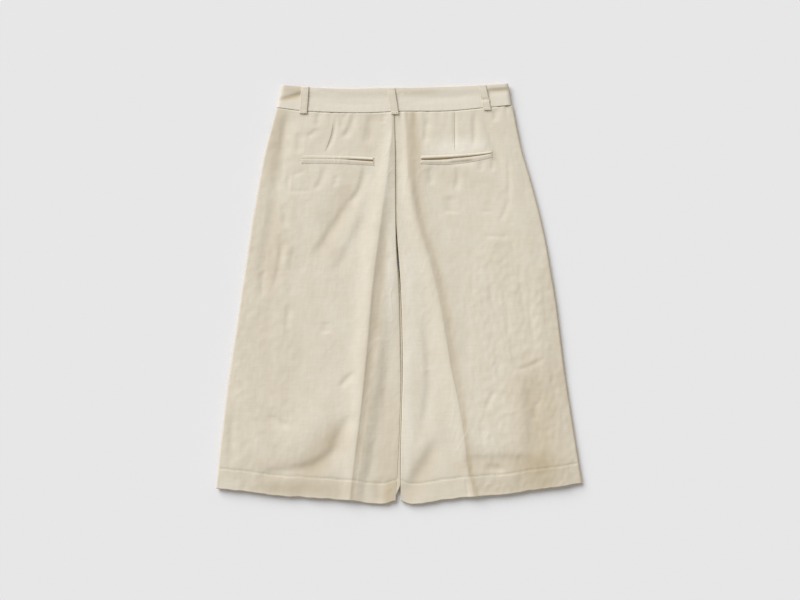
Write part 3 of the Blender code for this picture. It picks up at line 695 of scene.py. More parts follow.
# %% Where shade and light are painted on the cloth
# Painted shade deepens the colour in folds, in hems and on slopes turned from the light; negative depths are
# painted highlights where the cloth faces the light.
PAINTED_LIGHT_LEFT = table(
    Crease,
    ("behind the pressed crease", -22, 90, -24, -360, 4, 26, 0.25),
    ("inner leg, low", -16, -150, -20, -345, 0, 20, 0.35),
    ("along the side, top", -182, 305, -205, 160, 0, 13, 0.7),
    ("along the side, middle", -198, 150, -206, 0, 0, 28, 0.5),
    ("outer leg", -206, 20, -222, -270, 0, 62, 0.28),
    ("along the diagonal", -62, 206, -126, 50, 0, 15, 0.45),
    ("under the waist, by the middle", -40, 292, -52, 216, 0, 15, 0.4),
    ("past the crease, facing the light", -12, 275, -16, -70, 0, 9, -0.85),
    ("by the centre seam", -1, 275, -4, 90, 0, 3, -0.8),
    ("hem dent", -88, -206, -150, -290, 0, 22, 0.95),
    ("above the hem", -110, -268, -262, -272, 0, 16, 0.3),
    ("in the hem", -92, -309, -236, -302, 0, 13, 0.75),
    ("in the hem, by the inside leg", -14, -286, -20, -336, 0, 8, 0.7),
    ("in the hem, corner facing the light", -284, -296, -246, -298, 0, 12, -0.4),
)
PAINTED_LIGHT_RIGHT = table(
    Crease,
    ("low outer leg", 208, -90, 232, -350, 0, 40, 0.95),
    ("by the side seam", 224, 60, 262, -180, 0, 18, 0.3),
    ("outer thigh", 160, 110, 196, -90, 0, 34, 0.2),
    ("above the hem", 84, -268, 250, -264, 0, 17, 0.7),
    ("in the hem", 108, -308, 200, -300, 0, 12, 0.45),
    ("dent to the inner hem", 54, -240, 8, -330, 0, 17, 0.7),
    ("inner leg, facing the light", 10, -60, 10, -320, 0, 9, -0.55),
    ("inner leg, high", 12, 90, 24, -110, 0, 16, -0.3),
    ("under the waist", 20, 285, 38, 170, 0, 9, 0.35),
    ("under the pocket", 60, 186, 150, 176, 0, 16, 0.3),
    ("over the pocket, facing the light", 44, 228, 128, 232, 0, 14, -0.9),
)
# painted shade in the hem, below its stitches
HEM_SHADE = 0.2
RIM_TONE = 0.5              # the hem's fold is drawn a little paler
FOLD_SHADE_LEFT = 0.65       # painted shade just past the pressed crease
FOLD_SHADE_RIGHT = 0.8
EDGE_SHADE = 0.3             # painted shade where the cloth rolls under at its edges
MOTTLE = 0.2                # washed linen takes up its colour unevenly
MOTTLE_SIZE = (20.0, 31.0)  # across and along
FINE_MOTTLE_SIZE = (8.0, 13.0)


def zone_tone(zones, x, y):
    """The zones' shares at each point, dying out softly on every side."""
    tone = np.zeros(np.shape(x))
    for zone in zones:
        along, across = along_and_across(zone, x, y)
        tone = tone + zone.depth * np.exp(-(across / zone.width) ** 2 - (2.1 * (along - 0.5)) ** 4)
    return tone


def painted_shade_and_mottle(panel, fold, zones, places, height):
    """How much deeper the colour is drawn at each point: painted shade and highlights, and a random mottle.
    """
    x, y = places[:, 0], places[:, 1]
    tone = zone_tone(zones, x, y) + HEM_SHADE * ease((HEM_STITCH + 2.0 - height) / 3.0)
    tone = tone - RIM_TONE * np.exp(-(height / 2.2) ** 2)
    step = read_table(panel, "step", y)
    past = (x - read_table(panel, "crest", y) - 0.6 * step) / (0.6 * step + 1.5)
    right = (read_table(panel, "right", y) - x) / 6.0
    left = (x - read_table(panel, "left", y)) / 3.0
    drift = stretched_noise(x, y, MOTTLE_SIZE, 11.3) + 0.7 * stretched_noise(x, y, FINE_MOTTLE_SIZE, 4.4)
    edges = EDGE_SHADE * (np.exp(-right ** 2) + 1.3 * np.exp(-left ** 2))
    return tone + MOTTLE * drift + fold * np.exp(-past ** 2) + edges


# %% Make the backs
BACK_ROWS = 300
LEFT_SHARES = (9, 64, 12, 14, 24, 9)
RIGHT_SHARES = (9, 22, 16, 14, 66, 9)


def back_panel(name, panel, creases, fold, zones, hem, shares):
    """One back panel, as a fine shell on its form."""
    sheet, u, w = new_grid(sum(shares), BACK_ROWS)
    form = partial(back_form, panel, hem, creases)
    places, wall, height = panel_places(panel, hem, u, w, shares, form)
    flat = (places[:, 0] - read_table(panel, "crest", places[:, 1]), places[:, 1])
    tone = painted_shade_and_mottle(panel, fold, zones, places, height)
    cloth = keep_mesh(name + "_cloth", sheet, places, cut=flat, tone=tone)
    piece = give_wall(cloth, HEM_CLOTH, wall)
    stand_for(piece, washed_linen, "linen", name)
    return piece


linen_back_left = back_panel("back_left", BACK_LEFT, CREASES_LEFT, FOLD_SHADE_LEFT, PAINTED_LIGHT_LEFT,
                             LEFT_HEM, LEFT_SHARES)
linen_back_right = back_panel("back_right", BACK_RIGHT, CREASES_RIGHT, FOLD_SHADE_RIGHT, PAINTED_LIGHT_RIGHT,
                              RIGHT_HEM, RIGHT_SHARES)


# %% [markdown]
# ## The front panels
#
# The fronts lie underneath and carry the weight, so their outer faces are pressed flat on the
# table, and a few creases lift them off it. They curl up at the side and inside-leg seams to
# meet the backs there. They are made on the same grid as the backs, with fewer points, because
# only their hems and edges show.

# %% Make the fronts
FRONT_ROWS = 130
FRONT_SHARES = (8, 20, 10, 8, 24, 8)
FRONT_SHADE = 0.6            # painted shade: the inner face shows only in the shade


def front_panel(name, panel, hem, side_is_left):
    """One front panel, outer face down."""
    sheet, u, w = new_grid(sum(FRONT_SHARES), FRONT_ROWS)
    form = partial(front_form, panel, hem, side_is_left=side_is_left)
    places, wall, height = panel_places(panel, hem, u, w, FRONT_SHARES, form, FRONT_HEM_SHOWS)
    if side_is_left:
        places[:, 0] += ease(4 * u - 3) * front_shows(places[:, 1])
    places[:, 2] = form(places[:, 0], places[:, 1])
    flat = (places[:, 0], places[:, 1])
    cloth = keep_mesh(name + "_cloth", sheet, places, True, flat, np.full(len(u), FRONT_SHADE))
    piece = give_wall(cloth, HEM_CLOTH, wall)
    stand_for(piece, washed_linen, "linen", name)
    return piece


linen_front_left = front_panel("front_left", BACK_LEFT, LEFT_HEM, True)
linen_front_right = front_panel("front_right", BACK_RIGHT, RIGHT_HEM, False)

# %% [markdown]
# ## The waistband
#
# The waistband is a strip cut double, folded along its upper edge and sewn over the tops of the
# panels. It goes round the waist as a flattened loop and its ends lap at the centre front. The
# strip is one long grid, and its route says where each column stands: under the front, round
# the left side, over the back, round the right side and under the front again. A spun loop
# would be regular, and the real band isn't: its stiff upper third stands a little proud.

# %% The waistband's route
BandEnd = namedtuple("BandEnd", "y left right")
BAND_ENDS = (BandEnd(285.0, -192.8, 175.6), BandEnd(329.6, -184.6, 170.7))
BAND_FOOT = 285.0
BAND_RISE = 44.0
BAND_WIDTH = 39.0           # across the strip, from the seam to the fold
BAND_LENGTH = 766.0
BAND_HEIGHT = 11.0
BAND_EDGE_LIFT = 1.2
BAND_ROLL = 7.0
OVERLAP = 34.0
RAISED = 2.4
RAISED_RUN = 16.0
END_APART = 3.0
WAIST_LEVEL = 292.0
BAND_ROWS = 40
CREASES_BAND = table(            # y is the distance up the band from its seam
    Crease,
    ("wedge under the left end", -190, 12, -146, 29, 0, 4, 1.0, -0.2),
    ("hollow by the right end", 136, 27, 176, 27, 0, 4.5, 0.9, -0.2),
    ("tuck by the centre loop", -3, 39, 5, 27, 0, 2.6, 0.5, 0.2),
    ("tuck past it", 8, 39, 17, 30, 1, 2.6, 0.35, 0.2),
    ("short one past the left loop", -128, 33, -96, 31, 0, 3.5, 0.35),
    ("long shallow one, left", -118, 16, -34, 13, 1, 5, 0.3),
    ("long shallow one, right", 22, 17, 116, 20, -1, 5, 0.35),
)


def centre_front():
    """Where the band's ends lap, across the shorts."""
    return float(read_table(BACK_LEFT, "right", WAIST_LEVEL))


def band_height(x, up):
    """Height of the waistband over the back; up is 0 at the seam and 1 at the upper edge."""
    lift = BAND_EDGE_LIFT * ease((up - 0.55) / 0.35)
    dips = crease_depth(CREASES_BAND, x, up * BAND_WIDTH) + puckers(x + 40, up * BAND_WIDTH, 7.0, 0.35)
    edges = 0.6 * (1.0 - quarter_round(np.minimum(up, 1.0 - up) * BAND_WIDTH / 1.5))
    return BAND_HEIGHT + lift - dips - edges


def band_places(distance, up):
    """Places of the band's points; distance runs 0 to 5, a unit for each stretch of its route."""
    level = BAND_FOOT + BAND_RISE * up
    left = read_table(BAND_ENDS, "left", level)
    right = read_table(BAND_ENDS, "right", level)
    middle = centre_front()
    inner_end, outer_end = middle + 0.5 * OVERLAP, middle - 0.5 * OVERLAP + END_APART
    t = distance - np.minimum(np.floor(distance), 4.0)
    turn = np.pi * (t - 0.5)
    stretch = [distance < 1, distance < 2, distance < 3, distance < 4, distance >= 4]
    x = np.select(stretch, [
        inner_end + (left + BAND_ROLL - inner_end) * t,
        left + BAND_ROLL * (1 - np.cos(turn)),
        left + BAND_ROLL + (right - left - 2 * BAND_ROLL) * t,
        right - BAND_ROLL * (1 - np.cos(turn)),
        right - BAND_ROLL + (outer_end - right + BAND_ROLL) * t])
    top = band_height(x, up)
    rise = ease((x - outer_end + END_APART + RAISED_RUN) / RAISED_RUN)
    low = FRONT_LIFT + RAISED * rise * (distance < 1)
    middle_z, half = (FRONT_LIFT + top) / 2, (top - FRONT_LIFT) / 2
    z = np.select(stretch, [low, middle_z + half * np.sin(turn), top, middle_z - half * np.sin(turn),
                            np.full(np.shape(x), FRONT_LIFT)])
    bottom = read_table(WAIST_SEAM, "y", x)
    top_y = read_table(BAND_TOP, "y", x)
    under = 1.0 - ease((z - FRONT_LIFT) / (BAND_HEIGHT - FRONT_LIFT))
    top_y = top_y - FRONT_SHORTER * under
    return np.stack([x, bottom + (top_y - bottom) * up, z], axis=1)


# %% Make the waistband
BAND_SHARES = (60, 20, 240, 20, 60)
BAND_TONE = -0.1
# Painted shade on the band over the back: in the wedge under the lapped left end, along its upper third and
# in the hollow by the right end.
BAND_SHADE = table(              # y is the distance up the band from its seam
    Crease,
    ("wedge under the left end", -188, 13, -150, 28, 0, 5.5, 1.3),
    ("upper edge, left end", -186, 34, -146, 34, 0, 8, 0.7),
    ("upper third", -140, 34, 130, 34, 0, 7, 0.15),
    ("upper third, by the centre loop", -2, 30, 62, 31, 0, 5, 0.45),
    ("hollow by the right end", 138, 29, 172, 29, 0, 5, 0.9),
)
sheet, u, w = new_grid(sum(BAND_SHARES), BAND_ROWS)
bounds_at = np.concatenate([[0.0], np.cumsum(BAND_SHARES) / sum(BAND_SHARES)])
distance = np.interp(u, bounds_at, np.arange(6.0))
up = 0.5 - 0.5 * np.sign(0.5 - w) * np.abs(2 * w - 1) ** 0.8
thin_edge = EDGE_SHARE + (1 - EDGE_SHARE) * quarter_round(np.minimum(up, 1 - up) * BAND_WIDTH / 1.5)
band_at = band_places(distance, up)
on_back = (distance > 1.2) & (distance < 3.8)
band_tone = BAND_TONE + on_back * zone_tone(BAND_SHADE, band_at[:, 0], up * BAND_WIDTH)
band_cut = (u * BAND_LENGTH, up * BAND_WIDTH)
band_cloth = keep_mesh("waistband_cloth", sheet, band_at, cut=band_cut, tone=band_tone)
linen_band = give_wall(band_cloth, BAND_CLOTH, thin_edge)
stand_for(linen_band, pressed_linen, "linen_folded", "waistband")

# %% [markdown]
# ## Belt loops and pocket welts
#
# A belt loop is a strip folded in three and stitched down both edges; a welt is a narrow folded
# lip sewn into the slit of the pocket. Both lie on the cloth beneath, so their points are that
# cloth's points, moved out, and each bulges a little between its sewn edges.

# %% Belt loops
LYING_GAP = 0.4
LOOP_WIDTH = 12.0
LOOP_CLOTH = 1.6
LOOP_PAST_SEAM = 4.5
LOOP_SHORT = 0.6
LOOP_ARCH = 0.8
LOOP_SEWN = 0.12
LOOP_TONE = 0.12
LOOP_LENGTH = 42.0          # along a loop, from end to end
Loop = namedtuple("Loop", "name top_x bottom_x below kink")
LOOPS = table(
    Loop,
    ("belt_loop_back_left", -147.4, -150.6, False, 0.3),
    ("belt_loop_back_centre", -13.2, -6.6, False, 0.2),
    ("belt_loop_back_right", 129.4, 138.0, False, 1.6),
    ("belt_loop_front_left", -92.0, -95.0, True, 0.0),
    ("belt_loop_front_right", 78.0, 81.0, True, 0.0),
)


def loop_places(loop, across, t):
    """Places of a belt loop's points; t is 0 below the seam and 1 at the waistband's upper edge."""
    middle = loop.bottom_x + (loop.top_x - loop.bottom_x) * t
    kink = loop.kink * np.exp(-((t - 0.42) / 0.07) ** 2)
    x = middle + LOOP_WIDTH * (across - 0.5) + 0.8 * kink
    low = read_table(WAIST_SEAM, "y", middle) - LOOP_PAST_SEAM
    high = read_table(BAND_TOP, "y", middle) - (FRONT_SHORTER if loop.below else LOOP_SHORT)
    y = low + (high - low) * t
    edge = 0.5 * (1.0 - quarter_round(np.minimum(across, 1 - across) * LOOP_WIDTH / 1.2))
    rows = 0.25 * np.exp(-((np.minimum(across, 1 - across) * LOOP_WIDTH - 2.2) / 0.8) ** 2)
    if loop.below:
        return np.stack([x, y, edge + rows], axis=1)
    arch = LOOP_ARCH * np.sin(np.pi * np.clip((t - LOOP_SEWN) / (1 - 1.5 * LOOP_SEWN), 0.0, 1.0))
    lift = arch * (1.0 - 0.8 * kink) + BAND_EDGE_LIFT * ease((t - 0.5) / 0.4) - edge - rows
    ends = 0.5 * (1.0 - quarter_round(np.minimum(t, 1 - t) * LOOP_LENGTH / 1.2))
    return np.stack([x, y, BAND_HEIGHT + LYING_GAP + LOOP_CLOTH + lift - ends], axis=1)


for loop in LOOPS:
    sheet, u, w = new_grid(24, 64)
    edge_share = 0.6 + 0.4 * quarter_round(np.minimum(u, 1 - u) * LOOP_WIDTH / 1.2)
    # Each loop's colour deepens towards its right edge: painted shade on the side turned from the light.
    strap = keep_mesh(loop.name + "_cloth", sheet, loop_places(loop, u, w), loop.below,
                      (u * LOOP_WIDTH, w * LOOP_LENGTH), LOOP_TONE + 0.5 * np.exp(-((u - 0.98) / 0.06) ** 2))
    give_wall(strap, LOOP_CLOTH, edge_share)
    stand_for(strap, pressed_linen, "linen_folded", loop.name)

# %% Pocket welts
Welt = namedtuple("Welt", "name x0 x1 low0 low1 low2 high0 high1 high2")
WELTS = table(
    Welt,
    ("welt_left_upper", -153.4, -39.8, 211.7, 211.0, 208.4, 217.2, 216.6, 213.4),
    ("welt_left_lower", -153.4, -39.8, 203.6, 203.2, 200.4, 211.4, 210.5, 206.8),
    ("welt_right_upper", 33.2, 145.4, 210.6, 213.4, 220.0, 216.4, 219.0, 223.6),
    ("welt_right_lower", 33.2, 145.4, 203.2, 203.0, 213.2, 209.2, 211.6, 219.0),
)
WELT_CROWN = 0.4
SLIT_SHADE = 1.2             # painted shade on the cloth just inside the slit, seen between the lips


def slit_open(welt, t):
    """How far the slit gapes along the pocket; each gapes most at the end by the middle."""
    return ease((t - 0.42) / 0.5) if "left" in welt.name else 1.0 - 0.65 * ease((t - 0.25) / 0.6)


def through(first, middle, last, t):
    """The parabola through three values at 0, a half and 1."""
    return (1 - t) * (1 - 2 * t) * first + 4 * t * (1 - t) * middle + t * (2 * t - 1) * last


def welt_places(welt, t, up):
    """Places of a welt's points along its pocket; its lip turns in at the slit."""
    x = welt.x0 + (welt.x1 - welt.x0) * t
    low = through(welt.low0, welt.low1, welt.low2, t)
    high = through(welt.high0, welt.high1, welt.high2, t)
    y = low + (high - low) * up
    upper = welt.name.endswith("upper")
    to_slit = (up if upper else 1.0 - up) * (high - low)
    to_body = (1.0 - up if upper else up) * (high - low)
    to_end = np.minimum(t, 1.0 - t) * (welt.x1 - welt.x0)
    gape = slit_open(welt, t)
    rim = np.minimum(to_body / (3.4 if upper else 5.6), to_end / 3.0)
    flat = 0.3 * quarter_round(2.0 * rim) + 0.7 * ease(rim)
    turned = (0.02 + 0.55 * gape) * (1.0 - quarter_round(to_slit / 1.6))
    crown = WELT_CROWN * (0.4 + 1.2 * gape) * np.sin(np.pi * up)
    body = LYING_GAP + CLOTH + crown - (1.0 - 0.5 * gape if upper else 0.9)
    z = back_height(x, y) + 0.3 + (body - turned) * flat
    share = 0.12 + 0.6 * flat
    # Painted shade in the open slit, and a thin line of painted shade along the upper welt's top edge.
    tone = SLIT_SHADE * gape * np.exp(-(to_slit / 1.1) ** 2) + 1.1 * upper * np.exp(-(to_body / 0.7) ** 2)
    return np.stack([x, y, z], axis=1), tone, share


for welt in WELTS:
    sheet, u, w = new_grid(150, 18)
    spots, slit, wall = welt_places(welt, u, w)
    lip = keep_mesh(welt.name + "_cloth", sheet, spots, cut=(u * 113.0, w * 6.0), tone=0.1 + slit)
    give_wall(lip, CLOTH, wall)
    stand_for(lip, pressed_linen, "linen_folded", welt.name)

# %% [markdown]
# ## Stitching
#
# Every edge of the shorts is held by lockstitch: a row of short stitches in thread of the
# cloth's own colour, each sunk a little at its ends. A row could be a texture, but stitches
# catch the light, so each is a small stretched sphere, and a row is one joined mesh that
# follows the cloth beneath. The real stitches are 2.6 mm long and 0.4 mm thick; they are drawn
# 0.7 mm thick, because thinner ones would not show.

# %% Cotton thread
thread, thread_tree, thread_shader = start_material("cotton_thread", 0.7, "E3DBCB")
thread_shader.inputs["Sheen Weight"].default_value = 0.2
fibre = add_node(thread_tree, "ShaderNodeTexCoord").outputs["Object"]
twist = add_node(thread_tree, "ShaderNodeTexWave", {"bands_direction": "DIAGONAL"}, Vector=fibre,
                 Scale=1000 / 0.5 / 20)
give_relief(thread_tree, thread_shader, twist, 0.4, 0.05)

# %% Rows of stitches
STITCH_LENGTH = 2.6
STITCH_SPACE = 0.8
STITCH_THICK = 0.7
STITCH_OUT = 0.12           # how far a stitch's middle stands off the cloth


def stitch_row(shape, route, out=STITCH_OUT):
    """Adds a row of stitches along a route, which gives a place for t from 0 to 1."""
    fine = route(np.linspace(0.0, 1.0, 400))
    steps = np.linalg.norm(np.diff(fine, axis=0), axis=1)
    far = np.concatenate([[0.0], np.cumsum(steps)])
    count = max(2, int(far[-1] / (STITCH_LENGTH + STITCH_SPACE)))
    ends = np.linspace(0.0, far[-1], count + 1)
    spots = np.stack([np.interp(ends, far, fine[:, k]) for k in range(3)], axis=1)
    for start, end in zip(spots[:-1], spots[1:]):
        along = Vector(end - start)
        length = along.length * STITCH_LENGTH / (STITCH_LENGTH + STITCH_SPACE)
        turn = along.to_track_quat("X", "Z").to_matrix().to_4x4()
        middle = Vector((start + end) / 2 + np.array([0.0, 0.0, out]))
        place = placed(middle, (0.5 * length, 0.5 * STITCH_THICK, 0.5 * STITCH_THICK), turn)
        bmesh.ops.create_uvsphere(shape, u_segments=6, v_segments=4, radius=1.0, matrix=place)
    return count


def sewn(name, *routes, out=STITCH_OUT):
    """One joined mesh of stitch rows."""
    shape = bmesh.new()
    total = sum(stitch_row(shape, route, out) for route in routes)
    piece = keep_mesh(name, shape)
    stand_for(piece, thread, "linen_folded")
    print(name, total, "stitches")


def hem_route(form, panel, hem, inset):
    """A route along a hem's stitch line, on the face whose form is given."""
    def route(t):
        level = float(read_table(hem, "y", 0.0)) + HEM_STITCH
        left, right = (float(read_table(panel, side, level)) for side in ("left", "right"))
        x = left + inset + (right - left - 2 * inset) * t
        y = hem_level(hem, x) + HEM_STITCH
        return np.stack([x, y, form(x, y)], axis=1)
    return route


LEFT_LEG, RIGHT_LEG = (BACK_LEFT, LEFT_HEM), (BACK_RIGHT, RIGHT_HEM)
sewn("hem_stitches_back",
     hem_route(partial(back_form, *LEFT_LEG, CREASES_LEFT), *LEFT_LEG, 1.5),
     hem_route(partial(back_form, *RIGHT_LEG, CREASES_RIGHT), *RIGHT_LEG, 1.5))
sewn("hem_stitches_front",
     hem_route(partial(front_form, *LEFT_LEG, side_is_left=True), *LEFT_LEG, 3.0),
     hem_route(partial(front_form, *RIGHT_LEG, side_is_left=False), *RIGHT_LEG, 3.0), out=-STITCH_OUT)


# %% Stitches on the loops, the band and the pockets
def loop_route(loop, start, end):
    """A route on a belt loop, between two places given across and up it."""
    def route(t):
        return loop_places(loop, start[0] + (end[0] - start[0]) * t, start[1] + (end[1] - start[1]) * t)
    return route


LOOP_ROWS = (((0.18, 0.04), (0.18, 0.96)), ((0.82, 0.04), (0.82, 0.96)),
             ((0.14, 0.07), (0.86, 0.07)), ((0.14, 0.93), (0.86, 0.93)))
for loop in LOOPS:
    rows = [loop_route(loop, start, end) for start, end in LOOP_ROWS]
    sewn(loop.name + "_stitches", *rows, out=-STITCH_OUT if loop.below else STITCH_OUT)


def welt_end(welt, t_end):
    """A bar of stitches across a pocket's end."""
    lower = WELTS[WELTS.index(welt) + 1]

    def route(t):
        x = np.full(len(t), welt.x0 + (welt.x1 - welt.x0) * t_end)
        low = float(through(lower.low0, lower.low1, lower.low2, t_end)) - 0.6
        high = float(through(welt.high0, welt.high1, welt.high2, t_end)) + 0.6
        y = low + (high - low) * t
        return np.stack([x, y, back_height(x, y) + LYING_GAP + 0.5], axis=1)
    return route


# %% Dart seams and pocket slits
# A dart is a fold sewn away on the inside, so all that shows is the line where the cloth meets.
Line = namedtuple("Line", "name x0 y0 x1 y1 bend width")
LINES = table(
    Line,
    ("dart_left", -104.0, 266, -116.5, 223, 2.2, 0.5),
    ("dart_right", 86, 284, 86.5, 224, 0.0, 0.5),
    ("slit_left", -84, 210.7, -41, 207.6, 0.2, 2.2),
    ("slit_right", 34.5, 209.9, 84, 212.2, -0.3, 2.2),
    ("slit_right_end", 80, 211.9, 144, 219.3, -0.3, 0.8),
)
# The pocket slits get ribbons of painted shade, where the pockets open between the welts.
painted_shade_linen = linen("linen_in_shade", "94805F", "7F6C4E", 0.03)
linen_seam = linen("linen_at_seam", "B5A88F", "A6987E", 0.03)


def seam_line(line, lift):
    """A thin deep-toned ribbon on the cloth, running out to nothing at its ends."""
    sheet, u, w = new_grid(60, 2)
    run = np.array([line.x1 - line.x0, line.y1 - line.y0])
    side = np.array([-run[1], run[0]]) / np.hypot(*run)
    out = line.bend * 4 * u * (1 - u) + line.width * (w - 0.5) * np.sin(np.pi * np.clip(u, 0.02, 0.98)) ** 0.5
    x = line.x0 + run[0] * u + side[0] * out
    y = line.y0 + run[1] * u + side[1] * out
    places = np.stack([x, y, back_height(x, y) + lift], axis=1)
    ribbon = keep_mesh(line.name + "_seam", sheet, places, cut=(u * 60.0, w))
    give_wall(ribbon, 0.1)
    stand_for(ribbon, linen_seam if line.name.startswith("dart") else painted_shade_linen, "linen")


for line in LINES:
    seam_line(line, 0.45 if line.name.startswith("dart") else LYING_GAP + 0.5 * CLOTH)

BAR_ENDS = (0.004, 0.996)
for welt in WELTS:
    if welt.name.endswith("upper"):
        sewn(welt.name.replace("upper", "bars"), *[welt_end(welt, t_end) for t_end in BAR_ENDS])

# %% [markdown]
# ## The closure
#
# At the centre front, which is underneath, the shorts close with a zip behind a placket, a
# curved row of stitches through both, and one button in the waistband's lap. The tape is woven
# cloth and its teeth are two rows of small moulded blocks, which are far too many to place one
# by one, so a loop makes them. The button is a turned disc with four holes, so a profile is
# spun for it.

# %% Placket and zip tape
FLY_LENGTH = 165.0
FLY_WIDTH = 38.0
FLY_TOP = 283.0
ZIP_WIDTH = 24.0
ZIP_CLOTH = 1.0
ZIP_STRIP = (ZIP_WIDTH, FLY_LENGTH - 10.0, LYING_GAP, ZIP_CLOTH)


def fly_places(across, t, width, length, above, wall, rounded=0.0):
    """Places on a strip along the inside of the centre front; its foot may be rounded."""
    y = FLY_TOP - length * (1 - t)
    tuck = rounded * across * (1 - quarter_round(t / 0.2))
    x = read_table(BACK_LEFT, "right", y) + width * (across - 0.5) - width * tuck
    lift = FRONT_LIFT * ease((y - FRONT_LIFT_FROM) / (FRONT_LIFT_TO - FRONT_LIFT_FROM))
    return np.stack([x, y, lift + CLOTH + above + wall], axis=1)


sheet, u, w = new_grid(24, 90)
placket_at = fly_places(u, w, FLY_WIDTH, FLY_LENGTH, 2 * LYING_GAP + ZIP_CLOTH, CLOTH, 0.7)
placket = keep_mesh("fly_placket_cloth", sheet, placket_at, cut=(u * FLY_WIDTH, w * FLY_LENGTH))
give_wall(placket, CLOTH)
stand_for(placket, pressed_linen, "linen_folded", "fly_placket")

tape_weave, tape_tree, tape_shader = start_material("woven_polyester_tape", 0.8, "CFC2AB")
tape_place = add_node(tape_tree, "ShaderNodeUVMap", {"uv_map": "cut"}).outputs["UV"]
rib = add_node(tape_tree, "ShaderNodeTexWave", {"bands_direction": "DIAGONAL"}, Vector=tape_place,
               Scale=1000 / 0.8 / 20)
give_relief(tape_tree, tape_shader, rib, 0.6, 0.1)
sheet, u, w = new_grid(16, 60)
tape_at = fly_places(u, w, *ZIP_STRIP)
tape = keep_mesh("fly_zip_tape", sheet, tape_at, cut=(u * ZIP_WIDTH, w * FLY_LENGTH))
give_wall(tape, ZIP_CLOTH)
stand_for(tape, tape_weave, "zip_tape", "fly_zip")

# %% Zip teeth and slider
TOOTH = (2.2, 1.0, 0.5)
TOOTH_PITCH = 1.6
moulded = grained("moulded_polyester_teeth", 0.45, "BFB198", 1500.0, 0.2)
teeth = bmesh.new()
tooth_count = int((FLY_LENGTH - 14.0) / TOOTH_PITCH)
for k in range(tooth_count):
    spot = fly_places(np.array([0.5]), np.array([(k + 1.0) / (tooth_count + 1.0)]), *ZIP_STRIP)[0]
    side = 0.5 if k % 2 else -0.5
    bmesh.ops.create_cube(teeth, size=1.0, matrix=placed(Vector(spot + np.array([side, 0.0, 0.18])), TOOTH))
zip_teeth = keep_mesh("fly_zip_teeth", teeth)
zip_teeth.data.shade_flat()
stand_for(zip_teeth, moulded, "zip_tape")
print(tooth_count, "teeth")

# The slider stays at the top of the closed zip, round the tape, with its tab hanging down.
zinc = grained("die_cast_zinc", 0.38, "A39B8E", 900.0, 0.15, metallic=1.0)
slider = bmesh.new()
head = fly_places(np.array([0.5]), np.array([0.955]), *ZIP_STRIP)[0]
for size, offset in (((7.0, 9.0, 1.5), (0.0, 0.0, -0.5)), ((4.0, 15.0, 0.3), (0.0, -9.0, -1.2))):
    bmesh.ops.create_cube(slider, size=1.0, matrix=placed(Vector(head + np.array(offset)), size))
bmesh.ops.bevel(slider, geom=slider.edges[:], offset=0.12 * MM, segments=2, affect="EDGES")
stand_for(keep_mesh("fly_zip_slider", slider), zinc, "zip_tape")


# %% Fly stitches
def fly_route(t):
    """The curved row of stitches that holds the zip, on the front's outer face."""
    straight = t < 0.8
    curve_y = FLY_TOP - 148 - 17.0 * np.sin((t - 0.8) / 0.2 * 1.57)
    y = np.where(straight, FLY_TOP - 3 - 145.0 * t / 0.8, curve_y)
    reach = np.where(straight, 28.0, 28.0 * np.cos((t - 0.8) / 0.2 * 1.4))
    x = read_table(BACK_LEFT, "right", y) - reach
    return np.stack([x, y, front_form(BACK_LEFT, LEFT_HEM, x, y, True)], axis=1)


sewn("fly_stitches", fly_route, out=-STITCH_OUT)

# %% Button and buttonhole
BUTTON_LEVEL = 304.0
horn, horn_tree, horn_shader = start_material("polished_horn_resin", 0.32, "8C7A62")
cloud = add_node(horn_tree, "ShaderNodeTexNoise", Scale=260.0, Detail=3.0, Distortion=1.2,
                 Vector=add_node(horn_tree, "ShaderNodeTexCoord").outputs["Object"])
marble = add_node(horn_tree, "ShaderNodeMix", {"data_type": "RGBA"}, Factor=cloud.outputs["Fac"])
marble.inputs[6].default_value = linear("6B5A45")
marble.inputs[7].default_value = linear("B8A68A")
horn_tree.links.new(marble.outputs[2], horn_shader.inputs["Base Color"])

# The profile runs from the middle of the outer face, down on the table, round the rim to the back.
profile = ((0.0, 0.5), (4.6, 0.5), (5.2, 0.0), (6.6, 0.0), (7.3, 0.35), (7.5, 0.85), (7.2, 1.35),
           (6.2, 1.7), (0.0, 1.7))
turned = bmesh.new()
rim = [turned.verts.new((radius * MM, 0.0, height * MM)) for radius, height in profile]
edges = [turned.edges.new(pair) for pair in zip(rim[:-1], rim[1:])]
bmesh.ops.spin(turned, geom=rim + edges, cent=(0, 0, 0), axis=(0, 0, 1), angle=2 * np.pi, steps=48,
               use_merge=True)
bmesh.ops.remove_doubles(turned, verts=turned.verts, dist=0.00001)
bmesh.ops.recalc_face_normals(turned, faces=turned.faces)
bmesh.ops.translate(turned, verts=turned.verts, vec=(centre_front() * MM, BUTTON_LEVEL * MM, 0.0))
button = keep_mesh("waist_button_disc", turned)
stand_for(button, horn, "button", "waist_button")

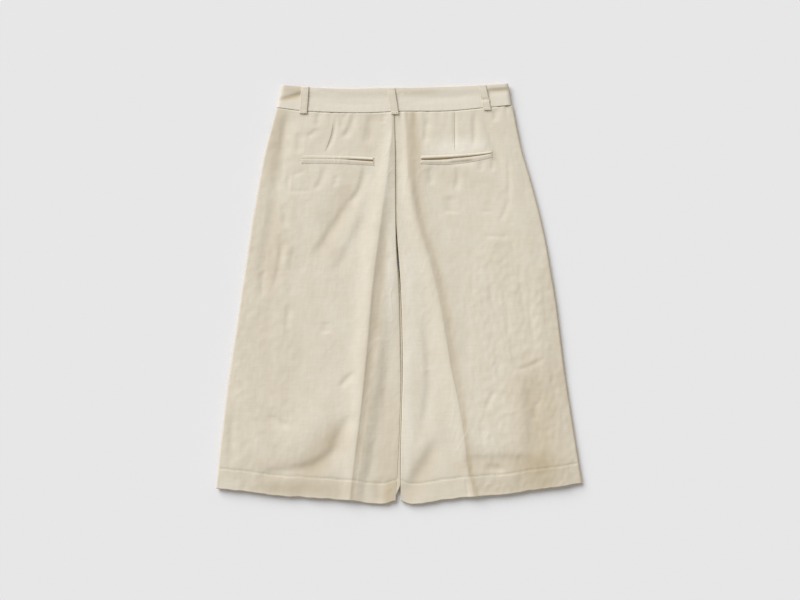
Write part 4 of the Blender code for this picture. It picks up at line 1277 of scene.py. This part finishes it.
holes = bmesh.new()
for across, along in ((-1, -1), (-1, 1), (1, -1), (1, 1)):
    eye = Vector((centre_front() + 1.3 * across, BUTTON_LEVEL + 1.3 * along, 0.35))
    bmesh.ops.create_uvsphere(holes, u_segments=12, v_segments=6, radius=1.0,
                              matrix=placed(eye, (0.75, 0.75, 0.3)))
stand_for(keep_mesh("waist_button_thread", holes), thread, "button")


def buttonhole_route(t):
    """A long narrow ring of stitches round the button's shank."""
    angle = 2 * np.pi * t
    x = centre_front() + 9.5 * np.cos(angle)
    return np.stack([x, BUTTON_LEVEL + 1.6 * np.sin(angle), np.full(len(t), FRONT_LIFT)], axis=1)


sewn("buttonhole_stitches", buttonhole_route, out=-0.1)

# %% [markdown]
# ## Table, light and camera
#
# The shorts lie on a pale table under a broad soft light from the upper left, with a plain
# bright room filling the shadows. The camera looks straight down from well above, as one does
# when a garment is laid out for inspection.

# %% Table
bpy.ops.mesh.primitive_plane_add(size=30.0, location=(0.0, 0.0, -0.0002))
table = bpy.context.object
table.name = "table"
table_paint, _, table_shader = start_material("matt_white_table", 0.9, "E8E7E7")
table_shader.inputs["Specular IOR Level"].default_value = 0.1
table.data.materials.append(table_paint)

# %% Light
lamp = bpy.data.objects.new("window", bpy.data.lights.new("window", "SUN"))
lamp.data.energy = 3.22
lamp.data.angle = np.radians(46.0)
lamp.data.color = (0.975, 1.0, 1.045)
lamp.rotation_euler = Vector((-0.50, 0.66, 0.61)).to_track_quat("Z", "Y").to_euler()
bpy.context.scene.collection.objects.link(lamp)
room = bpy.data.worlds.new("bright_room")
room.use_nodes = True
room.node_tree.nodes["Background"].inputs["Color"].default_value = (1.0, 0.975, 0.93, 1.0)
room.node_tree.nodes["Background"].inputs["Strength"].default_value = 0.40
bpy.context.scene.world = room
bpy.context.scene.view_settings.view_transform = "Standard"

# %% Camera
CAMERA_HEIGHT = 3.0
VIEW_WIDTH = 1.2576
camera = bpy.data.objects.new("camera", bpy.data.cameras.new("camera"))
camera.data.sensor_width = 36.0
camera.data.lens = 36.0 * CAMERA_HEIGHT / VIEW_WIDTH
camera.location = (0.0011, -0.0103, CAMERA_HEIGHT)
bpy.context.scene.collection.objects.link(camera)
bpy.context.scene.camera = camera

# %% [markdown]
